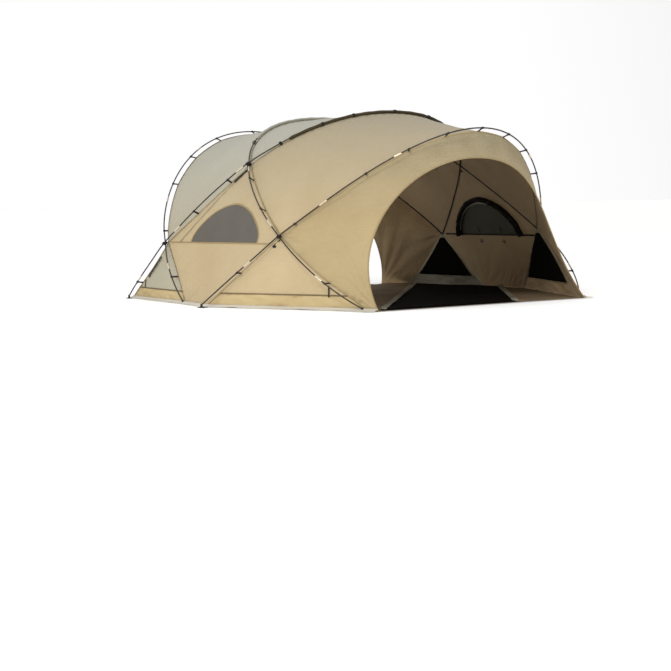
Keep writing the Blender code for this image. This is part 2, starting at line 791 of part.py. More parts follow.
def make_side_feet(frame):
    """Feet of both arch poles on one side, joined by the strap along the hem."""
    feet = (("front_arch_pole", SIDE_FRONT_CORNER, FRONT_CORNER),
            ("back_arch_pole", SIDE_BACK_CORNER, BACK_CORNER))
    for side_name, side in SIDES.items():
        name = f"{side_name}_hem_strap"
        tabs, cups, strap = bmesh.new(), bmesh.new(), bmesh.new()
        for pole, corner, other in feet:
            foot = frame.poles[pole].at(0.0 if side == LEFT else 1.0)
            tab_parts(tabs, cups, foot, mirrored(corner, side), mirrored(other, side), side)
        near, far = mirrored(SIDE_FRONT_CORNER, side), mirrored(SIDE_BACK_CORNER, side)
        along, outward = hem_line(near, far, side)
        middle = near.lerp(far, 0.5) + outward * (HEM_CLEAR + 0.5 * STRAP_WIDTH)
        block(strap, middle + UP * (0.5 * TAB_THICK), (along, outward, UP),
              ((far - near).length + 2 * STRAP_WIDTH, STRAP_WIDTH, TAB_THICK))
        piece = add_object(name, strap, "webbing")
        boolean(piece, add_cutter(f"{name}_tab_guide", tabs), "UNION")
        boolean(piece, add_cutter(f"{name}_cup_guide", cups), "UNION")


def sheet_ring(bm, inset, height):
    """Outline of the groundsheet at one height, inside the walls by the inset."""
    right = [Vector(FRONT_OPENING[0]), FRONT_CORNER, SIDE_FRONT_CORNER, SIDE_BACK_CORNER, BACK_CORNER]
    plan = right + flip(right)[::-1]
    ring = []
    for index, corner in enumerate(plan):
        before = (corner - plan[index - 1]).normalized()
        after = (plan[(index + 1) % len(plan)] - corner).normalized()
        normals = (UP.cross(before), UP.cross(after))
        move = (normals[0] + normals[1]) * (inset / (1 + normals[0].dot(normals[1])))
        ring.append(bm.verts.new(corner + move + UP * height))
    return ring


def make_groundsheet():
    """Flat sheet that meets the foot of the walls, as one thin plate."""
    bm = bmesh.new()
    foot = FABRIC + SEAM_PULL + GAP
    bottom = sheet_ring(bm, foot, 0.0)
    top = sheet_ring(bm, foot + SHEET_EDGE_SLOPE * SHEET_THICK, SHEET_THICK)
    for index in range(len(bottom)):
        after = (index + 1) % len(bottom)
        bm.faces.new((bottom[index], bottom[after], top[after], top[index]))
    bm.faces.new(bottom[::-1])
    bm.faces.new(top)
    add_object("groundsheet", bm, "sheet")


def main():
    clear_scene()
    frame = Frame()
    seams = Seams(frame)
    make_arch_poles(frame, seams)
    make_roof_poles(frame, seams)
    make_ties(frame)
    make_corner_feet(frame)
    make_side_feet(frame)
    make_side_walls(seams)
    make_lower_panels(seams)
    make_roof(seams)
    make_end_walls(seams)
    make_groundsheet()


main()
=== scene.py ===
# %% [markdown]
# # A family dome sun shelter
#
# The shelter is a fabric dome hung inside four long bent poles. Two arch poles lean
# out over the open front and the open back, two roof poles cross at a hub on each
# side. This lesson dresses the plain frame: taut cloth with seams and creases, smooth
# jointed poles, webbing, windows with mesh, a mud skirt and a groundsheet.

# %% Open the frame
import math

import bmesh
import bpy
import numpy as np
from mathutils import Matrix, Vector
from mathutils.bvhtree import BVHTree


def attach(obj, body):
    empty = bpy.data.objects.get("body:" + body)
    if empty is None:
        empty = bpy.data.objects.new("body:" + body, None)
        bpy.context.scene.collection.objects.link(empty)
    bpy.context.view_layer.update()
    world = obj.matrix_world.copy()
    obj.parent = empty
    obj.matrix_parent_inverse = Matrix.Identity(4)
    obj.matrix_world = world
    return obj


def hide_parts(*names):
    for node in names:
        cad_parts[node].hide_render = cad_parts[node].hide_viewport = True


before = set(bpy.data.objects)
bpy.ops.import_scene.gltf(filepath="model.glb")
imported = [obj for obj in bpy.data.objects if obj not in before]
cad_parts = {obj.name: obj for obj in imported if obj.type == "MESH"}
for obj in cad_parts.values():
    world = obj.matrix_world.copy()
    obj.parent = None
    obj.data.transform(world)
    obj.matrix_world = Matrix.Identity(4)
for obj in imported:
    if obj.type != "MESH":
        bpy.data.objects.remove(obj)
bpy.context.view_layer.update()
print("frame pieces:", len(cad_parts))

# %% [markdown]
# ## Camera, floor and light
#
# A long lens some eighteen metres away looks across the front left corner from just over
# a metre up. A pale floor and two large soft lamps keep the shadows gentle, as in a studio;
# the lamp on the left is the stronger one, so the outside is bright and the inside deep.

# %% Camera
FRAME_PIXELS = 671
FOCAL_PIXELS = 1500.0
camera_data = bpy.data.cameras.new("photo_view")
camera_data.sensor_width = 36.0
camera_data.lens = FOCAL_PIXELS / FRAME_PIXELS * camera_data.sensor_width
camera = bpy.data.objects.new("photo_view", camera_data)
camera.matrix_world = (Matrix.Translation((-10.645, -15.083, 1.138)) @ Matrix.Rotation(-0.599, 4, "Z")
                       @ Matrix.Rotation(math.pi / 2 - 0.088, 4, "X") @ Matrix.Rotation(-0.016, 4, "Z"))
bpy.context.scene.collection.objects.link(camera)
bpy.context.scene.camera = camera
print("lens mm:", round(camera_data.lens, 1))

# %% Colours and nodes: the two helpers that every finish uses


def colour(hex_code):
    """An sRGB hex colour as the linear RGBA that nodes take."""
    parts = [int(hex_code[i:i + 2], 16) / 255 for i in (1, 3, 5)]
    return tuple(p / 12.92 if p <= 0.04045 else ((p + 0.055) / 1.055) ** 2.4 for p in parts) + (1.0,)


def add(tree, kind, inputs=None, **settings):
    """Add one node; settings are its properties, inputs its values or links."""
    made = tree.nodes.new(kind)
    for name, value in settings.items():
        setattr(made, name, value)
    for name, value in (inputs or {}).items():
        if isinstance(value, bpy.types.NodeSocket):
            tree.links.new(value, made.inputs[name])
        else:
            made.inputs[name].default_value = value
    return made


# %% Floor, sky and lamps
def put(name, data, matrix=None):
    """Link new data to the scene as an object."""
    made = bpy.data.objects.new(name, data)
    bpy.context.scene.collection.objects.link(made)
    if matrix is not None:
        made.matrix_world = matrix
    return made


floor_mesh = bpy.data.meshes.new("studio_floor")
floor_mesh.from_pydata([(-900, -900, -0.003), (900, -900, -0.003), (900, 900, -0.003), (-900, 900, -0.003)], [],
                       [(0, 1, 2, 3)])
floor = put("studio_floor", floor_mesh)
floor_finish = bpy.data.materials.new("pale studio floor")
floor_finish.use_nodes = True
floor_finish.node_tree.nodes["Principled BSDF"].inputs["Base Color"].default_value = colour("#fbfbfa")
floor_finish.node_tree.nodes["Principled BSDF"].inputs["Roughness"].default_value = 0.95
floor_finish.node_tree.nodes["Principled BSDF"].inputs["Emission Color"].default_value = colour("#ffffff")
floor_finish.node_tree.nodes["Principled BSDF"].inputs["Emission Strength"].default_value = 0.22
floor_mesh.materials.append(floor_finish)

sky = bpy.data.worlds.new("studio")
sky.use_nodes = True
sky_tree = sky.node_tree
bearing = add(sky_tree, "ShaderNodeTexCoord")
facing = add(sky_tree, "ShaderNodeVectorMath", {0: bearing.outputs["Generated"], 1: (0.72, -0.66, 0.2)},
             operation="DOT_PRODUCT")
shaded = add(sky_tree, "ShaderNodeMapRange", {"Value": facing.outputs["Value"], "From Min": 0.0, "From Max": 0.9,
                                              "To Min": 1.0, "To Max": 0.38})
sky_tree.links.new(shaded.outputs["Result"], sky_tree.nodes["Background"].inputs["Strength"])
sky_tree.nodes["Background"].inputs["Color"].default_value = colour("#ffffff")
bpy.context.scene.world = sky


def lamp(name, place, aim, size, power):
    """A square soft lamp at a place, turned to a point."""
    data = bpy.data.lights.new(name, "AREA")
    data.size, data.energy = size, power
    turn = (Vector(aim) - Vector(place)).to_track_quat("-Z", "Y").to_matrix().to_4x4()
    return put(name, data, Matrix.Translation(place) @ turn)


lamp("key_lamp", (-9.0, -7.0, 9.0), (0, 0, 0.8), 3.0, 430)
lamp("fill_lamp", (-1.5, -13.0, 2.6), (0.8, 0, 0.8), 4.0, 290)
bpy.context.scene.view_settings.view_transform = "Standard"

# %% [markdown]
# ## The lines that everything hangs on
#
# Each pole is a flat, leaning arch, so half a cubic curve and a lean describe it. Where
# two poles cross they are drawn together and laid one over the other, and the cloth
# hangs a few centimetres inside them. All panels share these seam lines, which is why
# the lines are worked out first, as arrays of points, and the panels only fill between.

# %% Pole lines
POLES = {
    "front_arch_pole": {"foot": (2.46, -0.42), "swell": (2.01, 0.71), "crown": (1.10, -2.40, 1.93)},
    "back_arch_pole": {"foot": (2.28, 0.28), "swell": (2.37, 0.92), "crown": (1.19, 2.43, 2.12)},
    "back_roof_pole": {"foot": (1.55, -2.31), "swell": (2.30, 0.59), "crown": (1.97, 0.71, 2.20)},
    "front_roof_pole": {"foot": (2.25, 1.79), "swell": (2.24, 0.56), "crown": (1.92, -0.80, 2.20)},
}
OUTER_POLES = ("front_arch_pole", "front_roof_pole")
STRAP_RUNS = {
    "front_arch_pole": (0.080, 0.185, 0.298, 0.367, 0.433, 0.5),
    "back_arch_pole": (0.050, 0.144, 0.251, 0.331, 0.412, 0.5),
    "back_roof_pole": (0.064, 0.210, 0.271),
    "front_roof_pole": (0.048, 0.208, 0.270),
}
FERRULE_RUNS = {
    "front_arch_pole": (0.0994, 0.2306, 0.3482),
    "back_arch_pole": (0.0712, 0.2120, 0.3600),
    "back_roof_pole": (0.0750, 0.1825, 0.2913),
    "front_roof_pole": (0.0600, 0.1725, 0.2906),
}
POLE_RADIUS = 0.008
FOOT_HEIGHT = 0.030
MIRROR = np.array((-1.0, 1.0, 1.0))
FOCUS = np.array((0.0, 0.0, 0.9))


def unit(vectors):
    """Vectors scaled to length one."""
    return vectors / np.maximum(np.linalg.norm(vectors, axis=-1, keepdims=True), 1e-12)


def inward(points):
    """Directions from points to the middle of the dome."""
    return unit(FOCUS - points)


def cubic(a, b, c, d, t):
    """Points of a cubic curve at shares t."""
    t = np.asarray(t, float)[..., None]
    a, b, c, d = (np.asarray(p, float) for p in (a, b, c, d))
    return a * (1 - t) ** 3 + 3 * b * t * (1 - t) ** 2 + 3 * c * t * t * (1 - t) + d * t ** 3


class Pole:
    """Centre line of a pole, from the left foot (0) to the right foot (1)."""

    def __init__(self, name):
        span, self.foot_y = POLES[name]["foot"]
        swell_x, swell_z = POLES[name]["swell"]
        crown_x, crown_y, crown_z = POLES[name]["crown"]
        self.lean = (crown_y - self.foot_y) / crown_z
        self.flat = [(span, 0, FOOT_HEIGHT), (swell_x, 0, swell_z), (crown_x, 0, crown_z), (0, 0, crown_z)]
        self.sense = 1.0 if name in OUTER_POLES else -1.0
        self.pulls, self.lifts = [], []

    def line(self, runs, moves):
        runs = np.asarray(runs, float)
        points = cubic(*self.flat, 2 * np.minimum(runs, 1 - runs))
        points[..., 0] *= np.where(runs < 0.5, -1.0, 1.0)
        points[..., 1] = self.foot_y + self.lean * points[..., 2]
        for centre, move, reach in moves:
            for middle, vector in ((centre, move), (1 - centre, move * MIRROR)):
                near = np.clip(1 - np.abs(runs - middle) / reach, 0, 1)
                points = points + (near * near * (3 - 2 * near))[..., None] * vector
        return points

    def middle(self, runs):
        """Line with each crossing drawn together."""
        return self.line(runs, self.pulls)

    def at(self, runs):
        """Line as built, beside the pole that it crosses."""
        return self.line(runs, self.pulls + self.lifts)

    def tangent(self, runs):
        runs = np.asarray(runs, float)
        return unit(self.at(np.minimum(runs + 0.002, 1)) - self.at(np.maximum(runs - 0.002, 0)))


poles = {name: Pole(name) for name in POLES}
HALF_RUNS = np.linspace(0.02, 0.5, 1201)


def draw_together(first, second):
    """Pull two poles to the middle of the gap where they cross."""
    a, b = first.middle(HALF_RUNS), second.middle(HALF_RUNS)
    gaps = ((a[:, None] - b[None]) ** 2).sum(-1)
    i, j = np.unravel_index(gaps.argmin(), gaps.shape)
    first.pulls.append((HALF_RUNS[i], (b[j] - a[i]) / 2, 0.07))
    second.pulls.append((HALF_RUNS[j], (a[i] - b[j]) / 2, 0.07))
    return HALF_RUNS[i], HALF_RUNS[j]


PAIRS = {"front": ("front_arch_pole", "back_roof_pole"), "back": ("back_arch_pole", "front_roof_pole"),
         "hub": ("back_roof_pole", "front_roof_pole")}
for _ in range(6):
    crossings = {title: draw_together(poles[a], poles[b]) for title, (a, b) in PAIRS.items()}
for title, (a, b) in PAIRS.items():
    normal = unit(np.cross(poles[a].tangent(crossings[title][0]), poles[b].tangent(crossings[title][1])))
    if normal @ inward(poles[a].middle(crossings[title][0])) > 0:
        normal = -normal
    for pole, run in ((poles[a], crossings[title][0]), (poles[b], crossings[title][1])):
        pole.lifts.append((run, normal * pole.sense * 0.0095, 0.04))
print("crossings:", {title: (round(a, 3), round(b, 3)) for title, (a, b) in crossings.items()})

# %% Seam lines
FRONT_CORNER, BACK_CORNER = np.array((1.50, -2.32, 0.0)), np.array((2.16, 1.82, 0.0))
SIDE_FRONT, SIDE_BACK = np.array((2.36, -0.38, 0.0)), np.array((2.27, 0.27, 0.0))
FRONT_OPENING = ((1.47, -2.448, 0.0), (1.40, -1.73, 0.75), (1.00, -2.35, 1.61), (0.0, -2.31, 1.61))
BACK_OPENING = ((1.80, 1.97, 0.0), (1.55, 1.45, 0.85), (1.15, 2.40, 1.78), (0.0, 2.36, 1.80))
OPENING_BREAK = 0.17
UP_COUNT, DOWN_COUNT, OVER_COUNT = 48, 60, 220
STAND_OFF, STRAP_REACH, SLEEVE_OFF, SLEEVE_START = 0.045, 0.045, 0.026, 0.085


def beside(pole, runs, distance):
    """Seam points at a distance inside a pole."""
    points = pole.middle(runs)
    return points + inward(points) * np.asarray(distance)[..., None]


def flip(points):
    return points * MIRROR


def stand_off(share):
    return STAND_OFF + STRAP_REACH * np.sin(np.pi * share)


front_arch, back_arch = poles["front_arch_pole"], poles["back_arch_pole"]
to_back, to_front = poles["back_roof_pole"], poles["front_roof_pole"]
front_run, to_back_low = crossings["front"]
back_run, to_front_low = crossings["back"]
to_back_hub, to_front_hub = crossings["hub"]
hub = (beside(to_back, to_back_hub, STAND_OFF) + beside(to_front, to_front_hub, STAND_OFF)) / 2
front_knot = beside(front_arch, front_run, STAND_OFF)
back_knot = beside(back_arch, back_run, STAND_OFF)


def between(pole, start, end, first, last):
    share = np.linspace(0, 1, UP_COUNT + 1)
    points = beside(pole, start + (end - start) * share, stand_off(share))
    points[0], points[-1] = first, last
    return points


def down(pole, start, knot, corner):
    share = np.linspace(1, 0, DOWN_COUNT + 1)
    heights = knot[2] * share
    runs = np.linspace(0, start, 600)
    at_height = np.interp(np.maximum(heights, FOOT_HEIGHT), pole.middle(runs)[:, 2], runs)
    points = beside(pole, at_height, stand_off(share))
    points[:, 2] = heights
    level = (1 - share)[:, None]
    points += (knot + (corner - knot) * level - points) * level ** 2
    points[0], points[-1] = knot, corner
    return points


def over(pole, start, anchor, distance):
    share = np.linspace(0, 1, OVER_COUNT + 1)
    points = beside(pole, start + (1 - 2 * start) * share, distance(share))
    points[0], points[-1] = anchor, flip(anchor)
    return points


def under_sleeve(share):
    edge = np.minimum(share, 1 - share) / SLEEVE_START
    return SLEEVE_OFF + (STAND_OFF - SLEEVE_OFF) * np.maximum(0, 1 - edge)


hub_to_front = between(to_back, to_back_hub, to_back_low, hub, front_knot)
hub_to_back = between(to_front, to_front_hub, to_front_low, hub, back_knot)
front_to_side = down(front_arch, front_run, front_knot, flip(SIDE_FRONT))
back_to_side = down(back_arch, back_run, back_knot, flip(SIDE_BACK))
front_to_corner = down(to_back, to_back_low, front_knot, flip(FRONT_CORNER))
back_to_corner = down(to_front, to_front_low, back_knot, flip(BACK_CORNER))
front_crown = over(front_arch, front_run, front_knot, stand_off)
back_crown = over(back_arch, back_run, back_knot, stand_off)
roof_front_seam = over(to_front, to_front_hub, hub, under_sleeve)
roof_back_seam = over(to_back, to_back_hub, hub, under_sleeve)


def tighten(points, name, share):
    """Draw a seam part of the way to straight lines between its straps."""
    runs = np.array(STRAP_RUNS[name])
    clips = poles[name].at(np.concatenate((runs, 1 - runs)))
    gaps = np.linalg.norm(points[None] - clips[:, None], axis=-1)
    held = {0, len(points) - 1} | {int(row.argmin()) for row in gaps if row.min() < 0.15}
    held = sorted(held)
    length = np.concatenate(([0], np.cumsum(np.linalg.norm(np.diff(points, axis=0), axis=-1))))
    straight = np.stack([np.interp(length, length[held], points[held, axis]) for axis in range(3)], 1)
    return points + (straight - points) * share


TIGHT_SIDE, TIGHT_CROWN = 0.25, 0.5
hub_to_front = tighten(hub_to_front, "back_roof_pole", TIGHT_SIDE)
hub_to_back = tighten(hub_to_back, "front_roof_pole", TIGHT_SIDE)
front_to_side = tighten(front_to_side, "front_arch_pole", TIGHT_SIDE)
back_to_side = tighten(back_to_side, "back_arch_pole", TIGHT_SIDE)
front_to_corner = tighten(front_to_corner, "back_roof_pole", TIGHT_SIDE)
back_to_corner = tighten(back_to_corner, "front_roof_pole", TIGHT_SIDE)
front_crown = tighten(front_crown, "front_arch_pole", TIGHT_CROWN)
back_crown = tighten(back_crown, "back_arch_pole", TIGHT_SIDE)


def joined(*lines):
    """One line from lines that follow each other."""
    return np.concatenate([lines[0]] + [line[1:] for line in lines[1:]])


SEAMS = {
    "front_arch_pole": joined(front_to_side[::-1], front_crown, flip(front_to_side)),
    "back_arch_pole": joined(back_to_side[::-1], back_crown, flip(back_to_side)),
    "back_roof_pole": joined(front_to_corner[::-1], hub_to_front[::-1], roof_back_seam, flip(hub_to_front),
                             flip(front_to_corner)),
    "front_roof_pole": joined(back_to_corner[::-1], hub_to_back[::-1], roof_front_seam, flip(hub_to_back),
                              flip(back_to_corner)),
}


def opening_edge(points):
    """Left side and crown of a big opening's edge."""
    def at(run):
        edge = cubic(*points, 2 * np.minimum(run, 1 - run))
        edge[:, 0] *= np.where(run < 0.5, -1.0, 1.0)
        return edge

    low = at(OPENING_BREAK * np.linspace(1, 0, DOWN_COUNT + 1))
    return low, at(np.linspace(OPENING_BREAK, 1 - OPENING_BREAK, OVER_COUNT + 1))


print("hub at", hub.round(2), "front knot at", front_knot.round(2))

# %% [markdown]
# ## Cloth finishes
#
# The outside is a matt woven polyester with a khaki dye. Its threads are about 0.3 mm
# apart, far too fine for this picture, so the weave is drawn at 5 mm and kept faint; what
# the eye reads from this distance is slow unevenness in the dye and soft creases from
# packing. High up the khaki is painted darker, as painted shade. The inside face is coated,
# and painted a darker brown as painted shade for the deep inside; it is slightly smoother.

# %% Cloth finish
THREAD_MM = 5.0


def cloth_finish(name, light, dark, rough, top=None, crease=0.35, weave=0.08, sheen=0.0, shine=0.25,
                 mapped="UV"):
    """A woven cloth: two near shades, a faint weave and soft creases; top is its colour high up, painted shade where
    it darkens the khaki.
    """
    finish = bpy.data.materials.new(name)
    finish.use_nodes = True
    tree = finish.node_tree
    shader = tree.nodes["Principled BSDF"]
    place = add(tree, "ShaderNodeTexCoord")
    patch = add(tree, "ShaderNodeTexNoise", {"Vector": place.outputs["Object"], "Scale": 1.3, "Detail": 5.0})
    spread = add(tree, "ShaderNodeMapRange", {"Value": patch.outputs["Fac"], "From Min": 0.3, "From Max": 0.7})
    shade = add(tree, "ShaderNodeMix", {"Factor": spread.outputs["Result"], 6: colour(light), 7: colour(dark)},
                data_type="RGBA").outputs[2]
    # With height the colour turns towards top: painted shade on the khaki outsides, greying on the roof cloth.
    if top:
        height = add(tree, "ShaderNodeSeparateXYZ", {"Vector": place.outputs["Object"]})
        shade_and_fade_share = add(tree, "ShaderNodeMapRange", {"Value": height.outputs["Z"], "From Min": 0.9, "From Max": 2.1})
        shade = add(tree, "ShaderNodeMix", {"Factor": shade_and_fade_share.outputs["Result"], 6: shade, 7: colour(top)},
                    data_type="RGBA").outputs[2]
    slub_place = add(tree, "ShaderNodeMapping", {"Vector": place.outputs[mapped], "Scale": (8.0, 45.0, 8.0)})
    slub = add(tree, "ShaderNodeTexNoise", {"Vector": slub_place.outputs["Vector"], "Scale": 1.0, "Detail": 2.0})
    tone = add(tree, "ShaderNodeMapRange", {"Value": slub.outputs["Fac"], "To Min": 0.96, "To Max": 1.04})
    woven_shade = add(tree, "ShaderNodeVectorMath", {0: shade, "Scale": tone.outputs["Result"]}, operation="SCALE")
    tree.links.new(woven_shade.outputs["Vector"], shader.inputs["Base Color"])
    split = add(tree, "ShaderNodeSeparateXYZ", {"Vector": place.outputs[mapped]})
    threads = []
    for axis in ("X", "Y"):
        turns = add(tree, "ShaderNodeMath", {0: split.outputs[axis], 1: 2000 * math.pi / THREAD_MM},
                    operation="MULTIPLY")
        threads.append(add(tree, "ShaderNodeMath", {0: turns.outputs[0]}, operation="SINE"))
    grid = add(tree, "ShaderNodeMath", {0: threads[0].outputs[0], 1: threads[1].outputs[0]},
               operation="MULTIPLY")
    fold = add(tree, "ShaderNodeTexNoise", {"Vector": place.outputs["Object"], "Scale": 7.0, "Detail": 3.0,
                                            "Distortion": 0.8})
    creased = add(tree, "ShaderNodeBump", {"Height": fold.outputs["Fac"], "Strength": crease, "Distance": 0.02})
    woven = add(tree, "ShaderNodeBump", {"Height": grid.outputs[0], "Strength": weave, "Distance": 0.002,
                                         "Normal": creased.outputs["Normal"]})
    tree.links.new(woven.outputs["Normal"], shader.inputs["Normal"])
    shader.inputs["Roughness"].default_value = rough
    shader.inputs["Sheen Weight"].default_value = sheen
    shader.inputs["Specular IOR Level"].default_value = shine
    return finish


# The khaki darkens high up: painted shade on the upper awning and roof.
khaki = cloth_finish("woven polyester, khaki", "#bfac88", "#b5a17b", 0.85, top="#a1967d", crease=0.5, sheen=0.1)
# A darker copy of the khaki, darker still high up, for the front end strip: painted shade on the awning.
shaded_strip_khaki = cloth_finish("woven polyester, khaki, painted shade for end strips", "#b29f78", "#a8946d", 0.85, top="#91876e",
                           crease=0.6, sheen=0.1)
roof_khaki = cloth_finish("woven polyester, sun-greyed khaki", "#b1aa94", "#a9a28c", 0.85, top="#aba99b",
                          crease=0.5, sheen=0.1)
# The inside faces are painted a darker brown: painted shade for the deep inside of the dome.
shaded_inside_brown = cloth_finish("polyester inside face, brown with painted shade", "#b39c7a", "#a18a68", 0.7, crease=0.6)
band_cloth = cloth_finish("woven polyester, hem band", "#c5b186", "#b9a378", 0.85)
skirt_cloth = cloth_finish("coated skirt cloth, stone grey", "#d3cec2", "#bdb6a6", 0.75)
grey_lining = cloth_finish("coated polyester, grey back", "#969181", "#5d594c", 0.6, crease=1.0)
pale_tape = cloth_finish("seam tape, stone", "#b0a890", "#8f866f", 0.6, mapped="Object")
groundcloth = cloth_finish("groundsheet, brown coated weave", "#85745c", "#72624c", 0.85, crease=0.8, shine=0.1)
# Near black: partly a dark mat, partly painted shade on the floor inside.
floor_shade_black = cloth_finish("floor mat, black, painted floor shade", "#0f0d09", "#090704", 0.95, crease=0.4, shine=0.03)
outer_mesh = cloth_finish("knitted mesh, seen from outside", "#6b6760", "#625e56", 0.9, crease=0.05, weave=0.4)
# The same mesh seen from inside is painted darker: painted shade of the inside.
shaded_inner_mesh = cloth_finish("knitted mesh, inside face, painted shade", "#55554a", "#4a4a3e", 0.9, crease=0.05, weave=0.4)
black_mesh = cloth_finish("black insect mesh", "#0d0b08", "#080705", 0.95, crease=0.05, weave=0.4, shine=0.05)
webbing = cloth_finish("woven nylon webbing, black", "#24201c", "#1a1714", 0.7, crease=0.0, weave=0.5,
                       mapped="Object")
cover_cloth = cloth_finish("rolled window cover, black-brown", "#1e1914", "#120f0c", 0.85, mapped="Object", shine=0.1)
dark_sleeve = cloth_finish("pole sleeve, dark khaki weave", "#4d4330", "#3d3526", 0.8, mapped="Object")
# The seam tape is darker than the cloth: partly seam piping, partly painted shade beside the poles.
shaded_edge_tape = cloth_finish("seam tape, khaki, darkened as painted shade", "#a3906a", "#927e59", 0.8, mapped="Object")
# The dark hem is partly a stitched hem, partly painted shadow of the vent cloth hanging over the band.
hem_shadow_tape = cloth_finish("hem tape, dark khaki, painted shadow", "#7a6a4c", "#67583d", 0.8, mapped="Object")
print("cloth finishes made")

# %% [markdown]
# ## Pole finishes
#
# The poles are thin steel tube with a baked near-black brown lacquer: smooth, a little
# glossy. Where two lengths join, a pale champagne ferrule of bare aluminium covers the
# joint. Clips and tips are moulded black nylon.

# %% Pole finishes


def solid_finish(name, base, rough, metal=0.0, coat=0.0, grain=0.0):
    """A hard surface with slightly uneven gloss."""
    finish = bpy.data.materials.new(name)
    finish.use_nodes = True
    tree = finish.node_tree
    shader = tree.nodes["Principled BSDF"]
    shader.inputs["Base Color"].default_value = colour(base)
    shader.inputs["Metallic"].default_value = metal
    shader.inputs["Coat Weight"].default_value = coat
    place = add(tree, "ShaderNodeTexCoord")
    wear = add(tree, "ShaderNodeTexNoise", {"Vector": place.outputs["Object"], "Scale": 25.0, "Detail": 3.0})
    gloss = add(tree, "ShaderNodeMapRange", {"Value": wear.outputs["Fac"], "To Min": rough - 0.06,
                                             "To Max": rough + 0.08})
    tree.links.new(gloss.outputs["Result"], shader.inputs["Roughness"])
    bump = add(tree, "ShaderNodeBump", {"Height": wear.outputs["Fac"], "Strength": grain, "Distance": 0.001})
    tree.links.new(bump.outputs["Normal"], shader.inputs["Normal"])
    return finish


lacquer = solid_finish("lacquered steel tube, near-black brown", "#2a2018", 0.42, metal=0.1, coat=0.1)
ferrule_metal = solid_finish("aluminium ferrule, champagne", "#d9cbb4", 0.3, metal=0.9)
nylon = solid_finish("moulded nylon, black", "#141312", 0.45, grain=0.3)
print("pole finishes made")

# %% [markdown]
# ## Making cloth
#
# A panel is a grid of points between its seams, with its texture coordinates in metres.
# Real cloth is never a clean surface: it sags a little, it ripples slowly, and where a
# corner or a strap pulls, small folds fan out from that point. All three are moves along
# the surface normal that fade to nothing at the seams, so neighbours stay joined.

# %% Panels


def ruled(first, second, columns):
    """Grid straight across from one seam to another."""
    share = np.linspace(0, 1, columns + 1)[None, :, None]
    return first[:, None] * (1 - share) + second[:, None] * share


def coons(top, bottom, left, right):
    """Grid between four seams that meet at their ends."""
    v = np.linspace(0, 1, len(left))[:, None, None]
    u = np.linspace(0, 1, len(top))[None, :, None]
    across = left[:, None] * (1 - u) + right[:, None] * u
    along = top[None] * (1 - v) + bottom[None] * v
    corners = (top[0] * (1 - u) + top[-1] * u) * (1 - v) + (bottom[0] * (1 - u) + bottom[-1] * u) * v
    return across + along - corners


def normals_of(grid):
    """Outward unit normals of a grid."""
    down_way = np.gradient(grid, axis=0)
    across = np.gradient(grid, axis=1)
    normal = unit(np.cross(down_way, across))
    outside = -inward(grid)
    return np.where((normal * outside).sum(-1, keepdims=True) < 0, -normal, normal)


PUCKER_STEP, PUCKER_REACH, PUCKER_DEPTH = 0.12, 0.075, 0.0045


def ripple(points, size, seed):
    """Slow, seeded waves, mostly between -1 and 1."""
    random = np.random.default_rng(seed)
    total = np.zeros(points.shape[:-1])
    for _ in range(9):
        way = unit(random.normal(size=3)) * 2 * np.pi / (size * random.uniform(0.6, 1.6))
        total += np.sin(points @ way + random.uniform(0, 6.3))
    return total / 4


def fan(points, centre, folds, reach, seed):
    """Small folds that fan out from a pulled point."""
    offset = points - centre
    distance = np.linalg.norm(offset, axis=-1)
    axis = inward(np.asarray(centre, float))
    side = unit(np.cross(axis, (0.0, 0.0, 1.0)))
    angle = np.arctan2(offset @ np.cross(axis, side), offset @ side)
    start = np.random.default_rng(seed).uniform(0, 6.3)
    return np.cos(angle * folds + start) * np.exp(-distance / reach) * np.clip(distance / 0.05, 0, 1)


def puckers(grid, seed):
    """Short gathers at right angles to each seam, gone within a hand's breadth."""
    down_way = np.linalg.norm(np.diff(grid, axis=0), axis=-1)
    wide = np.linalg.norm(np.diff(grid, axis=1), axis=-1)
    v = np.concatenate((np.zeros((1, grid.shape[1])), np.cumsum(down_way, axis=0)))
    u = np.concatenate((np.zeros((grid.shape[0], 1)), np.cumsum(wide, axis=1)), axis=1)
    drift = 4 * ripple(grid, 0.6, seed)
    depth = 0.55 + 0.45 * ripple(grid, 0.35, seed + 1)
    total = np.zeros(grid.shape[:2])
    for distance, position in ((u, v), (u[:, -1:] - u, v), (v, u), (v[-1:] - v, u)):
        near = distance / PUCKER_REACH
        total += np.sin(position * 2 * np.pi / PUCKER_STEP + drift) * near * np.exp(1 - near)
    return total * depth * PUCKER_DEPTH


def make_mesh(name, points, faces, finishes, coordinates=None):
    """A smooth mesh object with finishes and texture coordinates in metres."""
    mesh = bpy.data.meshes.new(name)
    mesh.from_pydata([tuple(p) for p in points], [], faces)
    for finish in finishes:
        mesh.materials.append(finish)
    if coordinates is not None:
        layer = mesh.uv_layers.new(name="metres")
        order = np.zeros(len(mesh.loops), np.int32)
        mesh.loops.foreach_get("vertex_index", order)
        layer.data.foreach_set("uv", np.asarray(coordinates)[order].astype(np.float32).ravel())
    mesh.shade_smooth()
    made = put(name, mesh)
    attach(made, "root")
    return made


def settle(made):
    """Replace an object's mesh with what its modifiers make of it."""
    whole = made.evaluated_get(bpy.context.evaluated_depsgraph_get())
    mesh = bpy.data.meshes.new_from_object(whole)
    made.modifiers.clear()
    made.data = mesh
    return made


CLOTH = 0.003
CUTS = {}


def grid_faces(rows, columns):
    """Quads of a grid of points, row by row."""
    corner = (np.arange(rows - 1)[:, None] * columns + np.arange(columns - 1)).ravel()
    return np.stack((corner, corner + 1, corner + columns + 1, corner + columns), 1)


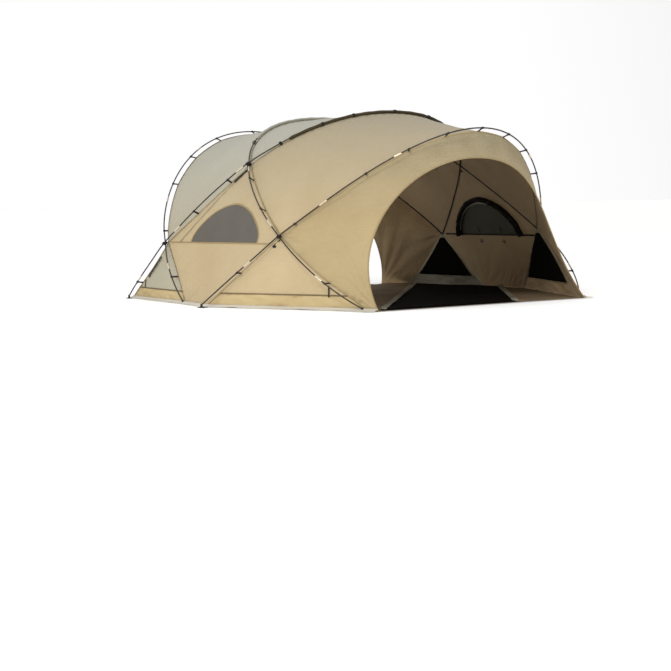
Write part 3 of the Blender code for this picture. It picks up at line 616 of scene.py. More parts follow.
def panel(name, grid, outer, inner, waves=0.006, size=0.5, sag=0.0, pulls=(), seed=1, fade=0.12,
          tapered=False):
    """Cloth between seams: outer finish outside, inner inside; a tapered cut is measured down its middle."""
    rows, columns = grid.shape[:2]
    normal = normals_of(grid)
    v = np.linspace(0, 1, rows)[:, None]
    u = np.linspace(0, 1, columns)[None]
    mask = np.clip(np.minimum(u, 1 - u) / fade, 0, 1) * np.clip(np.minimum(v, 1 - v) / fade, 0, 1)
    move = waves * ripple(grid, size, seed) - sag * 16 * u * (1 - u) * v * (1 - v)
    for index, (centre, folds, reach, height) in enumerate(pulls):
        move = move + height * fan(grid, np.asarray(centre), folds, reach, seed + index)
    gathers = puckers(grid, seed) if waves else 0.0
    points = grid + normal * (move * mask + gathers)[..., None]
    faces = grid_faces(rows, columns)
    flat_points = points.reshape(-1, 3)
    first = faces[len(faces) // 2]
    facing = np.cross(flat_points[first[1]] - flat_points[first[0]], flat_points[first[3]] - flat_points[first[0]])
    if facing @ normal.reshape(-1, 3)[first[0]] < 0:
        faces = faces[:, ::-1]
    along = np.concatenate(([0], np.cumsum(np.linalg.norm(np.diff(grid[:, columns // 2], axis=0), axis=-1))))
    wide = np.linalg.norm(np.diff(grid, axis=1), axis=-1)
    across = np.concatenate((np.zeros((rows, 1)), np.cumsum(wide, axis=1)), axis=1)
    across -= across[:, -1:] / 2
    coordinates = np.stack((across, np.broadcast_to(along[:, None], across.shape)), -1).reshape(-1, 2)
    made = make_mesh(name, flat_points, faces.tolist(), (outer, inner), coordinates)
    columns_down = np.linalg.norm(np.diff(grid, axis=0), axis=-1).sum(0)
    height = columns_down[columns // 2] if tapered else columns_down.max()
    CUTS[name] = tuple(sorted((float(height), float(wide.sum(1).max()))))
    thick = made.modifiers.new("cloth thickness", "SOLIDIFY")
    thick.thickness, thick.offset, thick.material_offset = CLOTH, -1.0, 1
    return made


def cloth_area(made):
    """Area of a cloth's mesh in square metres."""
    return sum(face.area for face in made.data.polygons)


def declare(nodes):
    """Hide the frame pieces that a cloth stands for."""
    if nodes:
        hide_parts(*nodes)


# %% [markdown]
# ## Roof
#
# Three panels make the roof: a lens between the two roof poles, and a broad panel before
# and behind it that runs out to each arch pole. They are cut from the same cloth, but the
# top and the back have greyed in the sun.

# %% Roof panels
CROWN_PULL = 0.010
roof_front = panel("roof_front_cloth", coons(roof_front_seam, front_crown, hub_to_front, flip(hub_to_front)),
                   khaki, shaded_inside_brown, waves=0.006, size=0.7, sag=0.020, seed=3,
                   pulls=[(hub, 9, 0.35, 0.008), (front_knot, 10, 0.35, 0.010)])
declare(["roof_front"])
lens = np.stack([roof_front_seam + (roof_back_seam - roof_front_seam) * share
                 for share in np.linspace(0, 1, 37)], 1)
roof_centre = panel("roof_centre_cloth", lens, roof_khaki, shaded_inside_brown, waves=0.004, size=0.6, seed=5)
declare(["roof_centre"])
roof_back = panel("roof_back_cloth", coons(roof_back_seam, back_crown, hub_to_back, flip(hub_to_back)),
                  roof_khaki, shaded_inside_brown, waves=0.006, size=0.7, sag=0.020, seed=7,
                  pulls=[(hub, 9, 0.35, 0.008), (back_knot, 10, 0.35, 0.010)])
declare(["roof_back"])
print("roof area m2:", [round(cloth_area(item), 1) for item in (roof_front, roof_centre, roof_back)])

# %% [markdown]
# ## Ends
#
# At each end one long strip of cloth runs from the ground up, over the crown and down
# again, between the arch pole's seam and the edge of the big opening. It bears the pull
# of the whole dome, so folds fan out of its corners.

# %% End strips
end_strips = {}
# The front strip takes the darker khaki copy, which is painted shade.
for end, edge, corner_seam, crown_seam, knot, outer, slot in (
        ("front", FRONT_OPENING, front_to_corner, front_crown, front_knot, shaded_strip_khaki, "fabric"),
        ("back", BACK_OPENING, back_to_corner, back_crown, back_knot, roof_khaki, "roof_fabric")):
    low, top = opening_edge(edge)
    seam = np.concatenate((corner_seam[::-1], crown_seam[1:-1], flip(corner_seam)))
    rim = np.concatenate((low[::-1], top[1:-1], flip(low)))
    corner = low[-1]
    strip = panel(f"{end}_end_cloth", ruled(seam, rim, 36), outer, shaded_inside_brown, waves=0.012, size=0.34, seed=11,
                  fade=0.08, pulls=[(knot, 14, 0.35, 0.016), (flip(knot), 14, 0.35, 0.016),
                                    (corner, 18, 0.6, 0.022), (flip(corner), 18, 0.6, 0.022)])
    declare([f"{end}_awning_left", f"{end}_awning_right", f"{end}_opening_left_side",
                    f"{end}_opening_right_side"])
    end_strips[end] = (strip, seam, rim)
print("end strips:", list(end_strips))

# %% [markdown]
# ## Side walls and their windows
#
# Each side wall is a diamond between hub, two knots and the ground, with a D-shaped
# window. The cloth is made whole and thick first, and the window is cut through it with a
# Boolean, which keeps the cut edge crisp; the mesh is the same cloth cut the other way.

# %% Side walls
WINDOW_CENTRE, WINDOW_HALF, WINDOW_SILL, WINDOW_TOP, WINDOW_POWER = -0.165, 0.65, 0.710, 1.135, 1.75


def window_outline(grow, count=48, start=0.0, end=1.0):
    """Points (y, z) round the arch of the window, grown by some metres."""
    angle = np.pi * np.linspace(start, end, count + 1)
    reach = np.sign(np.cos(angle)) * np.abs(np.cos(angle)) ** (2 / WINDOW_POWER)
    rise = np.abs(np.sin(angle)) ** (2 / WINDOW_POWER)
    return np.stack((WINDOW_CENTRE + (WINDOW_HALF + grow) * reach,
                     WINDOW_SILL - grow + (WINDOW_TOP - WINDOW_SILL + 2 * grow) * rise), 1)


def window_prism(name, side, grow):
    """A tool to cut the window, right through the wall."""
    outline = window_outline(grow)
    count = len(outline)
    points = [(side * x, y, z) for x in (1.2, 2.7) for y, z in outline]
    faces = [list(range(count))[::-1], list(range(count, 2 * count))]
    faces += [(i, (i + 1) % count, (i + 1) % count + count, i + count) for i in range(count)]
    if side < 0:
        faces = [face[::-1] for face in faces]
    mesh = bpy.data.meshes.new(name)
    mesh.from_pydata(points, [], faces)
    bm = bmesh.new()
    bm.from_mesh(mesh)
    bmesh.ops.recalc_face_normals(bm, faces=bm.faces[:])
    bm.to_mesh(mesh)
    return put(name, mesh)


walls, surfaces = {}, {}
for title, side in (("left", -1), ("right", 1)):
    front = np.concatenate((hub_to_front, front_to_side[1:]))
    back = np.concatenate((hub_to_back, back_to_side[1:]))
    if side > 0:
        front, back = flip(front), flip(back)
    grid = ruled(front, back, 64)
    mirror = MIRROR if side > 0 else np.ones(3)
    pulls = [(hub * mirror, 8, 0.3, 0.006), (front_knot * mirror, 12, 0.25, 0.008),
             (back_knot * mirror, 12, 0.25, 0.008), (flip(SIDE_BACK) * mirror, 12, 0.4, 0.010)]
    for piece, keep, finishes in (("wall", "DIFFERENCE", (khaki, shaded_inside_brown)),
                                  ("window_mesh", "INTERSECT", (outer_mesh, shaded_inner_mesh))):
        made = panel(f"{title}_{piece}_cloth", grid, *finishes, waves=0.004, size=0.45, seed=17, pulls=pulls,
                     tapered=True)
        settle(made)
        if piece == "wall":
            surfaces[title] = BVHTree.FromObject(made, bpy.context.evaluated_depsgraph_get())
        tool = window_prism("window_tool", side, 0.0 if piece == "wall" else -0.0005)
        cut = made.modifiers.new("window", "BOOLEAN")
        cut.object, cut.operation, cut.solver = tool, keep, "EXACT"
        settle(made)
        bpy.data.objects.remove(tool)
        made.data.shade_smooth()
        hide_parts(f"{title}_{piece}")
        walls[title, piece] = made
print("walls:", [item.name for item in walls.values()])

# %% [markdown]
# ## Vents
#
# Beside each wall stands a triangle of cloth with a hem seam low down and a skirt on the
# ground. Inside it hangs a black insect mesh above the hem. The band below the hem is
# coated on its inside, brown in front, partly painted shade like the other inside faces,
# and grey at the back.

# %% Vents and linings
TRIANGLES = {"front": (front_to_side, front_to_corner), "back": (back_to_side, back_to_corner)}
HEM_SHARE = 0.20
LINING_GAP = 0.016
for end, (wall_side, opening_side) in TRIANGLES.items():
    for title, side in (("left", -1), ("right", 1)):
        first, second = (wall_side, opening_side) if side < 0 else (flip(wall_side), flip(opening_side))
        grid = ruled(first, second, 36)
        break_row = int(round((1 - HEM_SHARE) * DOWN_COUNT))
        outer = khaki if end == "front" else roof_khaki
        vent = panel(f"{end}_{title}_vent_cloth", grid[:break_row + 1], outer, shaded_inside_brown, waves=0.003, size=0.35,
                     seed=23, fade=0.08, tapered=True)
        declare([f"{end}_{title}_vent"])
        band = panel(f"{end}_{title}_band_cloth", grid[break_row:], band_cloth,
                     shaded_inside_brown if end == "front" else grey_lining, waves=0.013, size=0.15, seed=29, fade=0.15,
                     tapered=True)
        declare([f"{end}_{title}_ground_band"])
        inner = grid - normals_of(grid) * LINING_GAP
        trimmed = inner[4:break_row + 1, 2:-2]
        lining = panel(f"{end}_{title}_mesh_lining", trimmed, black_mesh, black_mesh, waves=0.002, seed=31,
                       tapered=True)
        declare([])
print("vents made")

# %% [markdown]
# ## Small parts
#
# Straps, tapes, ferrules and clips are many and small, so they are gathered: a fitting
# collects the points and faces of all the small parts of one piece and makes one mesh of
# them. A bar is a round rod along a line, and a strap is a flat band along a line.

# %% Bars and straps


class Fitting:
    """Gathers small parts into one piece, each with its own finish."""

    def __init__(self, name, *finishes):
        self.name, self.finishes = name, finishes
        self.points, self.faces, self.kinds = [], [], []

    def add(self, part, kind=0, mirrored=False):
        points, faces = part
        start = len(self.points)
        self.points.extend(flip(points) if mirrored else points)
        turned = [face[::-1] for face in faces] if mirrored else faces
        self.faces.extend([tuple(start + corner for corner in face) for face in turned])
        self.kinds.extend([kind] * len(faces))

    def both(self, part, kind=0):
        self.add(part, kind)
        self.add(part, kind, mirrored=True)

    def make(self):
        made = make_mesh(self.name, self.points, self.faces, self.finishes)
        made.data.polygons.foreach_set("material_index", self.kinds)
        made.data.set_sharp_from_angle(angle=math.radians(50))
        return made


def ring_faces(rings, sides, closed):
    """Faces of a tube of rings, with end caps if it is open."""
    faces = []
    for ring in range(rings if closed else rings - 1):
        following = (ring + 1) % rings
        for side in range(sides):
            beyond = (side + 1) % sides
            faces.append((ring * sides + side, ring * sides + beyond, following * sides + beyond,
                          following * sides + side))
    if not closed:
        faces += [tuple(range(sides))[::-1], tuple(range((rings - 1) * sides, rings * sides))]
    return faces


def along(points, closed=False):
    """Unit tangents of a line."""
    if closed:
        return unit(np.roll(points, -1, axis=0) - np.roll(points, 1, axis=0))
    return unit(np.gradient(points, axis=0))


def bar(points, radius, sides=14):
    """Points and faces of a round rod along a line."""
    points = np.asarray(points, float)
    tangents = along(points)
    radii = np.broadcast_to(radius, len(points))
    across = unit(np.cross(tangents[0], (0.31, 0.22, 0.92)))
    turn = 2 * np.pi * np.arange(sides)[:, None] / sides
    rings = []
    for point, tangent, size in zip(points, tangents, radii):
        across = unit(across - tangent * (across @ tangent))
        rings.append(point + size * (np.cos(turn) * across + np.sin(turn) * np.cross(tangent, across)))
    return np.concatenate(rings), ring_faces(len(points), sides, False)


def strap(points, across, width, thick, closed=False):
    """Points and faces of a flat band along a line."""
    points = np.asarray(points, float)
    tangents = along(points, closed)
    across = np.broadcast_to(across, points.shape)
    across = unit(across - tangents * (across * tangents).sum(-1, keepdims=True))
    normal = np.cross(tangents, across)
    edges = ((-0.5, -0.5), (0.5, -0.5), (0.5, 0.5), (-0.5, 0.5))
    width = np.broadcast_to(width, len(points))[:, None]
    rings = np.stack([points + across * width * a + normal * thick * b for a, b in edges], 1)
    return rings.reshape(-1, 3), ring_faces(len(points), 4, closed)


def tape(line, lift, width, thick=0.002):
    """A flat band on the cloth along a seam; lift is how far outside the seam it lies."""
    outward = -inward(line)
    return strap(line + outward * lift, np.cross(along(line), outward), width, thick)


def nearest(line, point):
    """The point of a line that is nearest to a point."""
    starts, ways = line[:-1], np.diff(line, axis=0)
    share = ((point - starts) * ways).sum(-1) / np.maximum((ways * ways).sum(-1), 1e-12)
    feet = starts + ways * np.clip(share, 0, 1)[:, None]
    return feet[np.linalg.norm(feet - point, axis=-1).argmin()]


print("fitting helpers made")

# %% [markdown]
# ## Seam tapes, bindings and hems
#
# Every seam is covered: a narrow khaki tape outside, its darker colour partly painted
# shade beside the poles, and inside a black webbing on the upper seams, partly painted
# shadow of the poles on the cloth, and a broad pale tape on the lower ones. The edges of
# the two big openings are bound with a rolled hem, and the vents have a dark stitched hem
# above the band, its darkness partly painted shadow of the cloth that hangs over it.

# %% Seam tapes
SEAM_LINES = [hub_to_front, hub_to_back, front_to_side, back_to_side, front_to_corner, back_to_corner]
CROWN_LINES = [front_crown, back_crown, roof_front_seam, roof_back_seam]
outer_tapes = Fitting("seam_tapes", shaded_edge_tape)
inner_shadow_webs = Fitting("inner_seam_shadow_webbing", webbing, pale_tape)
for line in SEAM_LINES:
    outer_tapes.both(tape(line, 0.003, 0.014))
for line in CROWN_LINES:
    outer_tapes.add(tape(line, 0.003, 0.014))
# Black webbing on the upper inside seams: partly webbing, partly painted shadow of the poles seen through the cloth.
for line in (hub_to_front, hub_to_back):
    inner_shadow_webs.both(tape(line, -0.010, 0.018))
for line in CROWN_LINES:
    inner_shadow_webs.add(tape(line, -0.010, 0.018))
for line in (front_to_side, front_to_corner, back_to_side, back_to_corner):
    inner_shadow_webs.both(tape(line, -0.011, 0.028), 1)
tapes_made = outer_tapes.make()
shadow_webs_made = inner_shadow_webs.make()

bindings = Fitting("opening_bindings", shaded_edge_tape)
for _, _, rim in end_strips.values():
    bindings.add(bar(rim, 0.006, 10))
bindings_made = bindings.make()

# The hem strips are dark: partly hem, partly painted shadow of the overhanging cloth.
hems = Fitting("vent_hems", hem_shadow_tape, webbing)
HEM_ROW = int(round((1 - HEM_SHARE) * DOWN_COUNT))
for wall_side, opening_side in TRIANGLES.values():
    grid = ruled(wall_side, opening_side, 36)
    outward = normals_of(grid)
    row = grid[HEM_ROW] + outward[HEM_ROW] * 0.004
    hems.both(strap(row, grid[HEM_ROW + 1] - grid[HEM_ROW], 0.014, 0.003))
    foot = grid[-1] + outward[-1] * 0.004 + (0, 0, 0.008)
    hems.both(strap(foot, (0, 0, 1), 0.016, 0.003))
    sideways = unit(grid[HEM_ROW, 32] - grid[HEM_ROW, 31])
    upward = unit(np.cross(outward[HEM_ROW, 32], sideways))
    upward = upward * np.sign(upward[2])
    upright = grid[HEM_ROW, 31] + outward[HEM_ROW, 31] * 0.006 + np.linspace(-0.02, 0.10, 6)[:, None] * upward
    hems.both(strap(upright, sideways, 0.016, 0.003), 1)
hems_made = hems.make()
print("seams taped:", len(SEAM_LINES) * 2 + len(CROWN_LINES))

# %% [markdown]
# ## Window covers, borders and toggles
#
# Each window is framed by a stitched tape outside. Inside, its cover is rolled up along
# the arch and held with toggles, and a broad black border carries the zip. The parts have
# to lie on the wall, so a ray is sent at the wall for each of their points.

# %% Windows


def on_wall(title, outline, lift):
    """Points (y, z) put on a wall's outer face, or its inner face for a negative lift."""
    side = -1 if title == "left" else 1
    start_x = 4.0 if lift > 0 else 0.5
    placed, ways_out = [], []
    for y, z in outline:
        way = Vector((-side if lift > 0 else side, 0, 0))
        hit, normal, _, _ = surfaces[title].ray_cast(Vector((side * start_x, y, z)), way)
        if hit is not None:
            outward = np.array(normal) * (1 if normal.x * side > 0 else -1)
            placed.append(np.array(hit) + outward * lift)
            ways_out.append(outward)
    return np.array(placed), np.array(ways_out)


def wall_strap(title, outline, lift, width, thick):
    """A flat band that lies on a wall along (y, z) points."""
    line, outward = on_wall(title, outline, lift)
    return strap(line, np.cross(along(line), outward), width, thick)


SILL_Z = WINDOW_SILL - 0.006
for title, side in (("left", -1), ("right", 1)):
    frame_tape = Fitting(f"{title}_window_tape", shaded_edge_tape, hem_shadow_tape)
    arch = window_outline(0.010, 60)
    frame_tape.add(wall_strap(title, arch, 0.002, 0.020, 0.002))
    sill = np.column_stack((np.linspace(-1.17, 0.90, 40), np.full(40, SILL_Z)))
    frame_tape.add(wall_strap(title, sill, 0.003, 0.016, 0.002))
    tape_made = frame_tape.make()
    cover = Fitting(f"{title}_rolled_cover", cover_cloth, webbing, nylon, grey_lining)
    border = window_outline(0.020, 60)
    cover.add(wall_strap(title, border, -0.005, 0.075, 0.003), 1)
    roll = window_outline(0.035, 72, 0.02, 0.97)
    roll_line, _ = on_wall(title, roll, -0.038)
    lumps = 0.028 + 0.002 * np.sin(np.linspace(0, 40, len(roll))) + 0.001 * np.sin(np.linspace(1, 90, len(roll)))
    cover.add(bar(roll_line, lumps, 16))
    inner_fold = window_outline(-0.015, 72, 0.04, 0.96)
    cover.add(wall_strap(title, inner_fold, -0.020, 0.022, 0.004), 3)
    sill_web = np.column_stack((np.linspace(-1.15, 0.86, 40), np.full(40, SILL_Z)))
    cover.add(wall_strap(title, sill_web, -0.006, 0.022, 0.003), 1)
    for y in (-0.42, 0.06):
        for z, reach in ((SILL_Z + 0.065, 0.07), (SILL_Z - 0.085, 0.06)):
            loop = np.column_stack((np.full(8, y), np.linspace(z - reach / 2, z + reach / 2, 8)))
            cover.add(wall_strap(title, loop, -0.010, 0.012, 0.003), 1)
            pin, _ = on_wall(title, [(y - 0.028, z), (y, z), (y + 0.028, z)], -0.018)
            cover.add(bar(pin, (0.006, 0.009, 0.006), 10), 2)
    for run in (0.15, 0.35, 0.65, 0.85):
        index = int(run * (len(roll) - 1))
        centre = roll_line[index]
        way = along(roll_line)[index]
        first = unit(np.cross(way, (1.0, 0.0, 0.0)))
        second = np.cross(way, first)
        turn = 2 * np.pi * np.arange(20)[:, None] / 20
        loop = centre + 0.033 * (np.cos(turn) * first + np.sin(turn) * second)
        cover.add(strap(loop, way, 0.020, 0.002, closed=True), 1)
    cover_made = cover.make()
print("window covers rolled")

# %% [markdown]
# ## Mud skirt
#
# A strip of grey coated cloth some 6 cm wide runs round the foot of the walls and lies on
# the ground outside, where it keeps out wind and water. It is thin and never quite flat.

# %% Mud skirt
foot_line = np.array([FRONT_OPENING[0], FRONT_CORNER, SIDE_FRONT, SIDE_BACK, BACK_CORNER, BACK_OPENING[0]])
lengths = np.concatenate(([0], np.cumsum(np.linalg.norm(np.diff(foot_line, axis=0), axis=-1))))
steps = np.linspace(0, lengths[-1], 140)
foot_points = np.stack([np.interp(steps, lengths, foot_line[:, axis]) for axis in range(3)], 1)
foot_ways = along(foot_points)
foot_out = np.stack((foot_ways[:, 1], -foot_ways[:, 0], np.zeros(len(steps))), 1)
for _ in range(6):
    foot_out = unit(foot_out + np.roll(foot_out, 1, axis=0) + np.roll(foot_out, -1, axis=0))
foot_out[:3] = foot_out[3]
foot_out[-3:] = foot_out[-4]
SKIRT = 0.055
reach = np.linspace(0, 1, 7)
corner_flap = 0.07 * np.exp(-((steps - lengths[1]) / 0.25) ** 2)
skirt_grid = foot_points[:, None] + foot_out[:, None] * (reach * (SKIRT + corner_flap[:, None]))[..., None]
skirt_grid[..., 2] = 0.030 * (1 - reach) ** 2 + 0.003 + 0.004 * (1 + ripple(skirt_grid, 0.25, 51)) * reach
skirt_grid += foot_out[:, None] * 0.004
for title, side in (("left", -1), ("right", 1)):
    grid = skirt_grid if side > 0 else flip(skirt_grid)
    skirt = panel(f"{title}_mud_skirt", grid, skirt_cloth, skirt_cloth, waves=0.0)
    declare([])
print("skirt length m:", round(float(lengths[-1]), 2))

# %% [markdown]
# ## Groundsheet
#
# A coated sheet closes the floor between the walls, brown at the sides with a black
# middle piece, partly a dark mat and partly painted shade on the floor, and pale tape
# over the joining seams.

# %% Groundsheet
SHEET_INSET = 0.013


def floor_outline(inset):
    """Corners of the sheet, moved in from the foot of the walls."""
    right = [np.array(FRONT_OPENING[0]), FRONT_CORNER, SIDE_FRONT, SIDE_BACK, BACK_CORNER]
    plan = np.array(right + [flip(corner) for corner in right[::-1]])
    moved = []
    for index, corner in enumerate(plan):
        before = unit(corner - plan[index - 1])
        after = unit(plan[(index + 1) % len(plan)] - corner)
        normals = [np.array((-way[1], way[0], 0)) for way in (before, after)]
        moved.append(corner + (normals[0] + normals[1]) * inset / (1 + normals[0] @ normals[1]))
    return np.array(moved)


def inside(points, outline):
    """Which points lie within an outline seen from above."""
    result = np.zeros(len(points), bool)
    for start, end in zip(outline, np.roll(outline, -1, axis=0)):
        crosses = (start[1] > points[:, 1]) != (end[1] > points[:, 1])
        slope = (end[0] - start[0]) / (end[1] - start[1] + 1e-12)
        result ^= crosses & (points[:, 0] < start[0] + slope * (points[:, 1] - start[1]))
    return result


outline = floor_outline(SHEET_INSET)
right_edge = outline[:5]
levels = np.unique(np.concatenate((np.linspace(outline[:, 1].min(), outline[:, 1].max(), 90), right_edge[:, 1])))
edge_x = np.interp(levels, right_edge[:, 1], right_edge[:, 0])
shares = np.linspace(-1, 1, 81)
flat = np.stack((edge_x[:, None] * shares[None], np.broadcast_to(levels[:, None], (len(levels), 81)),
                 np.full((len(levels), 81), 0.006)), -1)
border = np.clip((1 - np.abs(shares))[None] * 8, 0, 1) * np.clip((levels - levels[0])[:, None] * 4, 0, 1)
flat[..., 2] += 0.005 * np.abs(ripple(flat, 0.45, 41)) * border
faces = grid_faces(*flat.shape[:2])
sheet = make_mesh("groundsheet_cloth", flat.reshape(-1, 3), faces.tolist(), (groundcloth, floor_shade_black),
                  flat[..., :2].reshape(-1, 2))
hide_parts("groundsheet")

# %% Floor mat and its edge tapes
# A black sheet lies askew on the floor: partly a dark mat, partly painted shade on the floor seen through the front
# opening.
mat_left = np.linspace((-1.395, -2.42, 0), (1.92, 1.36, 0), 60)
mat_right = np.linspace((0.44, -2.42, 0), (2.22, -0.08, 0), 60)
mat_grid = ruled(mat_left, mat_right, 24)
mat_grid[..., 2] = 0.016 + 0.003 * (1 + ripple(mat_grid, 0.35, 61))
mat = panel("black_floor_shade_mat", mat_grid, floor_shade_black, floor_shade_black, waves=0.0)
# Its front edge is slanted, so its width is measured square to the long edge.
square_width = np.linalg.norm(np.cross(mat_right[0] - mat_left[0], unit(mat_left[-1] - mat_left[0])))
CUTS[mat.name] = (float(square_width), CUTS[mat.name][1])
declare([])
for title, line, wide in (("left", mat_left, 0.035), ("right", mat_right, 0.035)):
    lifted = line + (0, 0, 0.026)
    side_way = np.cross(along(lifted), (0, 0, 1))
    grid = ruled(lifted - side_way * wide, lifted + side_way * wide, 6)
    grid[..., 2] += 0.007 * ripple(grid, 0.10, 67)
    edge = panel(f"{title}_mat_edge", grid, grey_lining, grey_lining, waves=0.0)
print("floor mat m2:", round(cloth_area(mat), 1))

# %% [markdown]
# ## Poles
#
# Each pole is a smooth tube along the line worked out above, one piece for every length
# in the frame. With it come its champagne ferrules, the nylon clips, and the short black
# straps that pull the seams of the cloth out towards it.

# %% Poles
ARCH_JOINT = 0.23
LACQUER, FERRULE, NYLON, WEB = range(4)


def add_straps(rod, name, start, end):
    """Ferrules, clips and straps of one length of a pole."""
    pole, line = poles[name], SEAMS[name]
    for run in FERRULE_RUNS[name] + tuple(1 - run for run in FERRULE_RUNS[name]):
        if start < run < end:
            half = 0.0058
            rod.add(bar(pole.at(np.linspace(run - half, run + half, 9)),
                        (0.0085, 0.0105, 0.0105, 0.0105, 0.0108, 0.0105, 0.0105, 0.0105, 0.0085)), FERRULE)
    for run in sorted(set(STRAP_RUNS[name] + tuple(round(1 - run, 4) for run in STRAP_RUNS[name]))):
        if not start < run < end:
            continue
        clip, way = pole.at(run), pole.tangent(run)
        seam = nearest(line, clip)
        pull = unit(seam - clip)
        rod.add(bar(np.linspace(clip - way * 0.016, clip + way * 0.016, 7),
                    (0.0105, 0.0125, 0.0128, 0.0128, 0.0128, 0.0125, 0.0105)), NYLON)
        rod.add(strap(np.linspace(clip + pull * 0.008, clip + pull * 0.034, 5), way, (0.016, 0.020, 0.020, 0.018,
                                                                                     0.014), 0.009), NYLON)
        rod.add(strap(np.linspace(clip + pull * 0.028, seam + pull * 0.002, 6), way, 0.024, 0.004), WEB)


sections, sleeves = {}, {}
for name in ("front_arch_pole", "back_arch_pole"):
    sections[f"{name}_left"] = (name, 0.0, ARCH_JOINT)
    sections[f"{name}_crown"] = (name, ARCH_JOINT, 1 - ARCH_JOINT)
    sections[f"{name}_right"] = (name, 1 - ARCH_JOINT, 1.0)
for end, run in (("front_roof", to_front_hub), ("back_roof", to_back_hub)):
    start = run + SLEEVE_START * (1 - 2 * run)
    sections[f"{end}_pole_left"] = (f"{end}_pole", 0.0, start)
    sections[f"{end}_pole_right"] = (f"{end}_pole", 1 - start, 1.0)
    sleeves[f"{end}_sleeve"] = (f"{end}_pole", start, 1 - start)
for node, (name, start, end) in sections.items():
    rod = Fitting(f"{node}_rod", lacquer, ferrule_metal, nylon, webbing)
    rod.add(bar(poles[name].at(np.linspace(start, end, 90)), POLE_RADIUS), LACQUER)
    for foot in (0.0, 1.0):
        if start <= foot <= end:
            tip = poles[name].at(foot)
            rod.add(bar(tip + np.linspace(0.012, -0.024, 7)[:, None] * (0, 0, 1),
                        (0.010, 0.0125, 0.013, 0.013, 0.012, 0.011, 0.007)), NYLON)
    add_straps(rod, name, start, end)
    rod_made = rod.make()
    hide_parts(node)
print("poles made:", len(sections))

# %% [markdown]
# ## Pole sleeves
#
# Over the roof the two roof poles run in long sewn sleeves of the roof's cloth. The front
# one is dark. A sleeve is a loose tube: it is wider than its pole, uneven along its length
# and gathered at its mouth.

# %% Sleeves
SLEEVE_MOUTH = {"front_roof_sleeve": 0.363, "back_roof_sleeve": 0.370}
for node, (name, start, end) in sleeves.items():
    pole, mouth = poles[name], SLEEVE_MOUTH[node]
    runs = np.linspace(mouth, 1 - mouth, 160)
    line = pole.at(runs)
    size = 0.015 + 0.0012 * ripple(line, 0.16, 71) + 0.0015 * np.sin(np.linspace(0, 90, len(line)))
    size[:2] = size[-2:] = 0.0115
    sleeve = Fitting(f"{node}_tube", dark_sleeve if node.startswith("front") else roof_khaki, lacquer, webbing,
                     nylon)
    sleeve.add(bar(line, size, 16))
    fin = np.array([nearest(SEAMS[name], point) for point in line])
    sleeve.add(strap((line + fin) / 2, fin - line, np.linalg.norm(fin - line, axis=-1) * 0.98, 0.003))
    for first, last in ((start, mouth), (1 - mouth, 1 - start)):
        sleeve.add(bar(pole.at(np.linspace(first, last, 12)), POLE_RADIUS), 1)
    near_mouth = (mouth - 0.012, 1 - mouth + 0.012)
    over_roof = (mouth + 0.045, mouth + 0.085, 0.5, 1 - mouth - 0.085, 1 - mouth - 0.045)
    for run in near_mouth + (over_roof if node.startswith("front") else ()):
        centre, way = pole.at(run), pole.tangent(run)
        away = -inward(centre)
        side_way = np.cross(way, away)
        turn = 2 * np.pi * np.arange(20)[:, None] / 20
        loop = centre + 0.020 * (np.cos(turn) * away + np.sin(turn) * side_way)
        sleeve.add(strap(loop, way, 0.026, 0.003, closed=True), 2)
        tail = np.linspace(centre - away * 0.018 + side_way * 0.004, nearest(SEAMS[name], centre), 5)
        sleeve.add(strap(tail, way, 0.022, 0.003), 2)
    sleeve_made = sleeve.make()
    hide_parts(node)
print("sleeves made:", len(sleeves))

# %% [markdown]
# ## Crossings
#
# Where two poles cross, black webbing is wrapped over both in a cross and pulled down to
# the cloth. At the hubs two pale reinforcing tapes lie on the cloth below the wrap.

# %% Ties
TIE_NODES = {"front": "front_tie", "back": "back_tie", "hub": "hub_tie"}
TIE_SEAMS = {"front": front_knot, "back": back_knot, "hub": hub}
TURN = 2 * np.pi * np.arange(28)[:, None] / 28


def make_tie(tie, side_title, title):
    """Make a wrap and let it stand for its tie in the frame."""
    made = tie.make()
    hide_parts(f"{side_title}_{TIE_NODES[title]}")


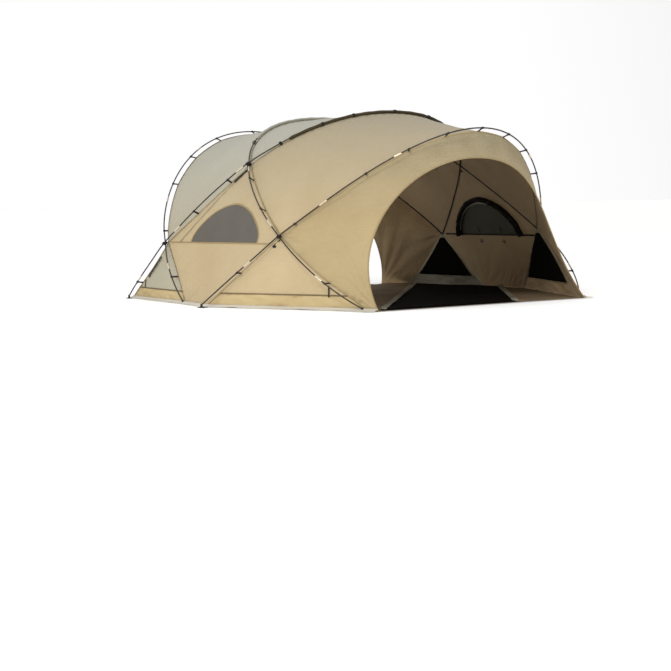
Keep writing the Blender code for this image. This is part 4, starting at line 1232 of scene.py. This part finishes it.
for title, (first_name, second_name) in PAIRS.items():
    first_run, second_run = crossings[title]
    first, second = poles[first_name], poles[second_name]
    centre = (first.at(first_run) + second.at(second_run)) / 2
    way_a, way_b = first.tangent(first_run), second.tangent(second_run)
    if way_a @ way_b < 0:
        way_b = -way_b
    away = -inward(centre)
    cloth_point = TIE_SEAMS[title]
    for side_title, mirrored in (("left", False), ("right", True)):
        tie = Fitting(f"{side_title}_{title}_wrap", webbing, nylon, pale_tape)
        for wide_way, long_way in ((way_a + way_b, way_a - way_b), (way_a - way_b, way_a + way_b)):
            wide_way, long_way = unit(wide_way), unit(long_way)
            for shift in (-0.011, 0.0, 0.011):
                loop = centre + wide_way * shift + 0.021 * np.cos(TURN) * long_way + 0.024 * np.sin(TURN) * away
                tie.add(strap(loop, wide_way, 0.016, 0.003, closed=True), 0, mirrored)
        for shift in (-0.018, 0.018):
            hang = np.linspace(centre - away * 0.020, cloth_point + away * 0.004 + unit(way_a - way_b) * shift, 6)
            tie.add(strap(hang, unit(way_a + way_b), 0.024, 0.003), 0, mirrored)
        if title != "hub":
            make_tie(tie, side_title, title)
            continue
        loose = centre + unit(way_a - way_b) * 0.022 + np.linspace(0, 1, 8)[:, None] * np.array((0, 0, -0.10))
        loose = loose - away * 0.012 * np.sin(np.linspace(0, 3, 8))[:, None]
        tie.add(strap(loose, unit(way_a + way_b), 0.018, 0.003), 0, mirrored)
        tie.add(bar(np.linspace(loose[5] - unit(way_a) * 0.018, loose[5] + unit(way_a) * 0.018, 5),
                    (0.006, 0.009, 0.010, 0.009, 0.006), 12), 1, mirrored)
        for line in (hub_to_front, hub_to_back):
            tie.add(tape(line[:4] + 0.012 * unit(line[8] - line[0]), 0.006, 0.045, 0.003), 2, mirrored)
        make_tie(tie, side_title, title)
print("crossings wrapped:", 2 * len(PAIRS))

# %% [markdown]
# ## Tightening straps
#
# Beside three seams of each wall a doubled webbing runs to a ladder buckle, which
# tightens the dome when it has been put up. A pale stitched tape runs down the upper part
# of the wall.

# %% Tightening straps
lines = Fitting("tightening_straps", webbing, nylon, pale_tape)
for seam, start, end, lateral in ((front_to_side, 1, 8, 0.05), (back_to_corner, 12, 34, 0.06),
                                  (hub_to_back, 2, 10, 0.05)):
    part = seam[start:end]
    outward = -inward(part)
    side_way = np.cross(along(part), outward)
    middle = part[len(part) // 2]
    toward = 1.0 if (np.array((-2.2, -0.1, 0.7)) - middle) @ side_way[len(part) // 2] > 0 else -1.0
    if seam is front_to_side:
        toward = -toward
    for shift in (0.6, 1.0):
        run = part + side_way * toward * lateral * shift + outward * 0.014
        lines.both(strap(run, side_way, 0.012, 0.003))
    lock = run[-2]
    lines.both(strap(np.linspace(lock - along(run)[-2] * 0.022, lock + along(run)[-2] * 0.022, 5), side_way[-2],
                     (0.014, 0.024, 0.026, 0.024, 0.014), 0.008), 1)
wall_grid = ruled(joined(hub_to_front, front_to_side), joined(hub_to_back, back_to_side), 44)
wall_out = normals_of(wall_grid)
stitched = wall_grid[3:49, 39] + wall_out[3:49, 39] * 0.007
lines.both(strap(stitched, wall_grid[3:49, 40] - wall_grid[3:49, 39], 0.010, 0.003), 2)
lines_made = lines.make()
print("tightening straps:", 6)

# %% [markdown]
# ## Feet
#
# The corner feet and the straps that join the feet of the arch poles along the hem are
# black webbing. These pieces come from the frame and only get their finish.

# %% Finish of the carried pieces
for name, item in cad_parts.items():
    for entry in item.material_slots:
        entry.material = webbing
